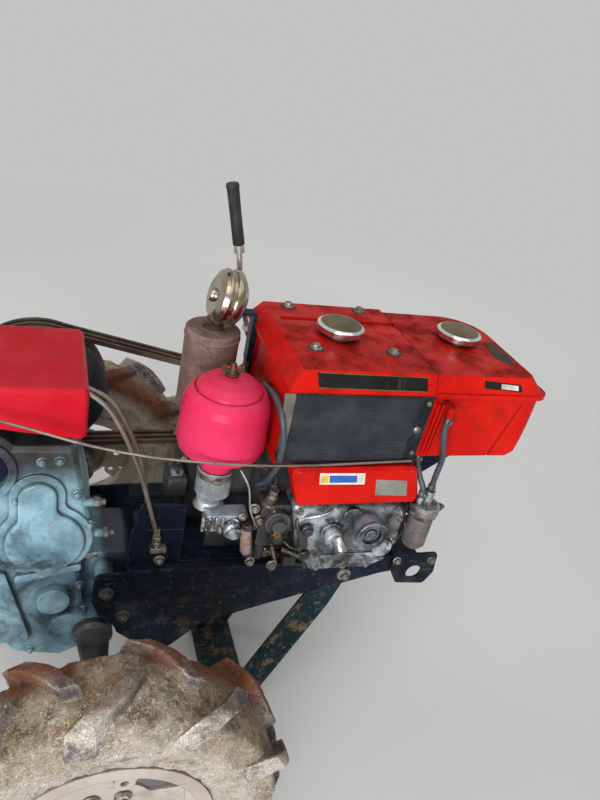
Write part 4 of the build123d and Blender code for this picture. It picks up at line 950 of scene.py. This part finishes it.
# Grips of the hand lever and of the handles
grip = Piece()
grip_end, grip_start = Vector((226, 168, 1181)), Vector((258, 168, 1062))
grip.lathe([(11.4, 0), (12.2, 3), (11.8, 60), (12.4, 112), (13.4, 118), (12, 123.4), (6, 125)],
           grip_start, grip_end - grip_start, 24)
grip.done("lever_grip", "grip")
ribs = Piece()
handle_end = Vector((-1318, 300, 1004))
handle_back = (handle_end - Vector((-980, 292, 962))).normalized()
for side in (-1, 1):
    flip = Vector((1, side, 1))
    for index in range(13):
        at = (handle_end - handle_back * (14 + 9 * index)) * flip
        ribs.lathe([(20.6, -3), (22.6, -1.6), (22.6, 1.6), (20.6, 3)], at, handle_back * flip, 28)
    at = (handle_end - handle_back * 127) * flip
    ribs.lathe([(21.4, -4), (24, -2), (24, 2), (21.4, 4)], at, handle_back * flip, 28)
ribs.done("grip_ribs", "grip")

# Handlebar clamps and weld beads
clamps = Piece()
for side in (-1, 1):
    for x, z in ((-330, 662), (-330, 716), (-304, 662)):
        clamps.bolt((x, side * 101, z), (0, side, 0), 15)
clamps.done_in_zinc("handle_bolts")
beads = Piece()
for side in (-1, 1):
    for x, z in ring_of(16, 13, -660, 858):
        beads.lathe([(0.5, -4), (3.2, -1), (3.2, 1.6), (0.5, 4)], (x, side * 220, z), (0, side, 0), 8)
beads.done("weld_beads", "handle_paint")

# Wheels: nuts on the flange, valve stems
for side_name, side in (("left", 1), ("right", -1)):
    nuts = Piece()
    for x, z in ring_of(6, 50, 0, AXLE_UP):
        nuts.lathe([(14, -4), (14, 0), (12.6, 1)], (x, side * 516, z), (0, side, 0), 24)
        nuts.lathe([(6, 8), (6, 14), (5, 15)], (x, side * 516, z), (0, side, 0), 14)
    nuts.lathe([(19, 0), (19, 5), (12, 6)], (0, side * 532.6, AXLE_UP), (0, side, 0), 32)
    nuts.done_in_zinc("wheel_nuts_" + side_name, "hub", "wheel_" + side_name)
    valve = Piece()
    valve.lathe([(6, -4), (5, 2), (4, 10), (4, 26), (5, 27), (5, 36), (4, 37)],
                (-140 * 0.5, side * 520, AXLE_UP - 140 * 0.866), (0.3, side, 0.5), 14)
    valve.done("valve_stem_" + side_name, "grip", body="wheel_" + side_name)

# Engine's left side and head: its bolts, the pulleys' own bolts and the small cover on the head
left = Piece()
left.bolt((CRANK[0], 282, CRANK[1]), TO_LEFT, 32)
left.bolt((CLUTCH[0], 268, CLUTCH[1]), TO_LEFT, 30)
for near_crank, near_clutch in zip(ring_of(4, 42, *CRANK, 45), ring_of(4, 30, *CLUTCH, 45)):
    left.bolt((near_crank[0], 270, near_crank[1]), TO_LEFT, 12)
    left.bolt((near_clutch[0], 268, near_clutch[1]), TO_LEFT, 12)
for x, z in ((330, 520), (330, 720), (430, 730), (580, 730), (622, 700), (622, 520)):
    left.bolt((x, 112, z), TO_LEFT, 13)
for y in (-90, -30, 30, 80):
    left.bolt((212, y, 690 if y > -46 else 588), UPWARD, 12)
left.done_in_zinc("engine_bolts")
rocker = Piece()
for y, z in ((-26, 530), (-26, 670), (70, 530), (70, 670), (22, 600)):
    rocker.bolt((168, y, z), (-1, 0, 0), 12)
rocker.done_in_zinc("rocker_bolts")
lifter = Piece()
lifter.plate([(136, -52, 646), (165, -52, 646), (165, 0, 646), (136, 0, 646)], (0, 0, 4))
for x, y in ((143, -45), (158, -45), (143, -7), (158, -7)):
    lifter.bolt((x, y, 649), UPWARD, 9, turn=x * 0.3, stud=False)
lifter.done("lifter_cover", "alloy_casting")

# Frame: bolts of the feet, front brackets and stand
feet = Piece()
for side in (-1, 1):
    for x in (340, 600):
        feet.bolt((x, side * 120, 494), UPWARD, 17)
    for x, z, flats in ((650, 474, 13), (740, 468, 13), (528, 440, 16)):
        feet.bolt((x, side * 149, z), (0, side, 0), flats)
feet.done_in_zinc("frame_bolts")


# Stage and light
BACKDROP = (0.55, 0.55, 0.54, 1)


def stage_floor():
    """A pale floor that fades into the backdrop's colour away from the machine."""
    mesh = bpy.data.meshes.new("floor")
    reach = 40.0
    mesh.from_pydata([(-reach, -reach, 0), (reach, -reach, 0), (reach, reach, 0), (-reach, reach, 0)], [],
                     [(0, 1, 2, 3)])
    s = Shader("floor")
    tone = s.mix(s.noise(3.0, 3), (0.70, 0.69, 0.67, 1), (0.74, 0.73, 0.71, 1))
    material = s.finish(tone, 0.95, Specular_IOR_Level=0.08)
    away = s.node("ShaderNodeVectorMath", operation="LENGTH")
    s.put(away.inputs[0], s.place)
    fade = s.step(away.outputs["Value"], 1.3, 4.4)
    glow = s.node("ShaderNodeEmission")
    glow.inputs["Color"].default_value = BACKDROP
    near = s.node("ShaderNodeMixShader")
    s.put(near.inputs["Fac"], fade)
    s.put(near.inputs[1], s.shader.outputs[0])
    s.put(near.inputs[2], glow.outputs[0])
    s.put(s.output.inputs["Surface"], near.outputs[0])
    mesh.materials.append(material)
    floor = add("floor", mesh)


def area_light(name, at, aim, size, power, tint=(1, 1, 1), shine=True):
    data = bpy.data.lights.new(name, "AREA")
    data.shape = "RECTANGLE"
    data.size, data.size_y = size
    data.energy = power
    data.color = tint
    lamp = add(name, data)
    lamp.visible_glossy = shine
    lamp.location = P(*at)
    lamp.rotation_euler = (P(*aim) - P(*at)).to_track_quat("-Z", "Y").to_euler()


def soft_world():
    """Soft light from all round, while the camera, gloss and glass see the backdrop's own colour."""
    world = bpy.data.worlds.new("world")
    bpy.context.scene.world = world
    world.use_nodes = True
    nodes, link = world.node_tree.nodes, world.node_tree.links.new
    nodes.clear()
    rays = nodes.new("ShaderNodeLightPath").outputs
    shown = rays["Is Camera Ray"]
    for ray in ("Is Glossy Ray", "Is Transmission Ray"):
        either = nodes.new("ShaderNodeMath")
        either.operation = "MAXIMUM"
        link(shown, either.inputs[0])
        link(rays[ray], either.inputs[1])
        shown = either.outputs[0]
    switch = nodes.new("ShaderNodeMixShader")
    link(shown, switch.inputs["Fac"])
    for place, colour, strength in ((1, (0.93, 0.96, 1.0, 1), 0.24), (2, BACKDROP, 1.0)):
        light = nodes.new("ShaderNodeBackground")
        light.inputs["Color"].default_value = colour
        light.inputs["Strength"].default_value = strength
        link(light.outputs[0], switch.inputs[place])
    link(switch.outputs[0], nodes.new("ShaderNodeOutputWorld").inputs["Surface"])


stage_floor()
soft_world()
area_light("door", (-2250, -4950, 1480), (150, 0, 520), (3.3, 2.6), 322, (0.96, 0.98, 1.0))
area_light("sky", (900, -700, 3300), (200, 0, 500), (2.4, 2.4), 16)
area_light("back", (-2300, 1900, 2600), (0, 0, 600), (1.8, 1.8), 34, shine=False)
area_light("far side", (3000, 3900, 1400), (0, 0, 400), (3.0, 2.4), 62, shine=False)
sun_data = bpy.data.lights.new("sun", "SUN")
sun_data.energy = 0.6
sun_data.angle = math.radians(35)
sun = add("sun", sun_data)
sun.rotation_euler = Vector((0.35, 0.62, -1.0)).to_track_quat("-Z", "Y").to_euler()
bpy.context.scene.view_settings.view_transform = "Standard"
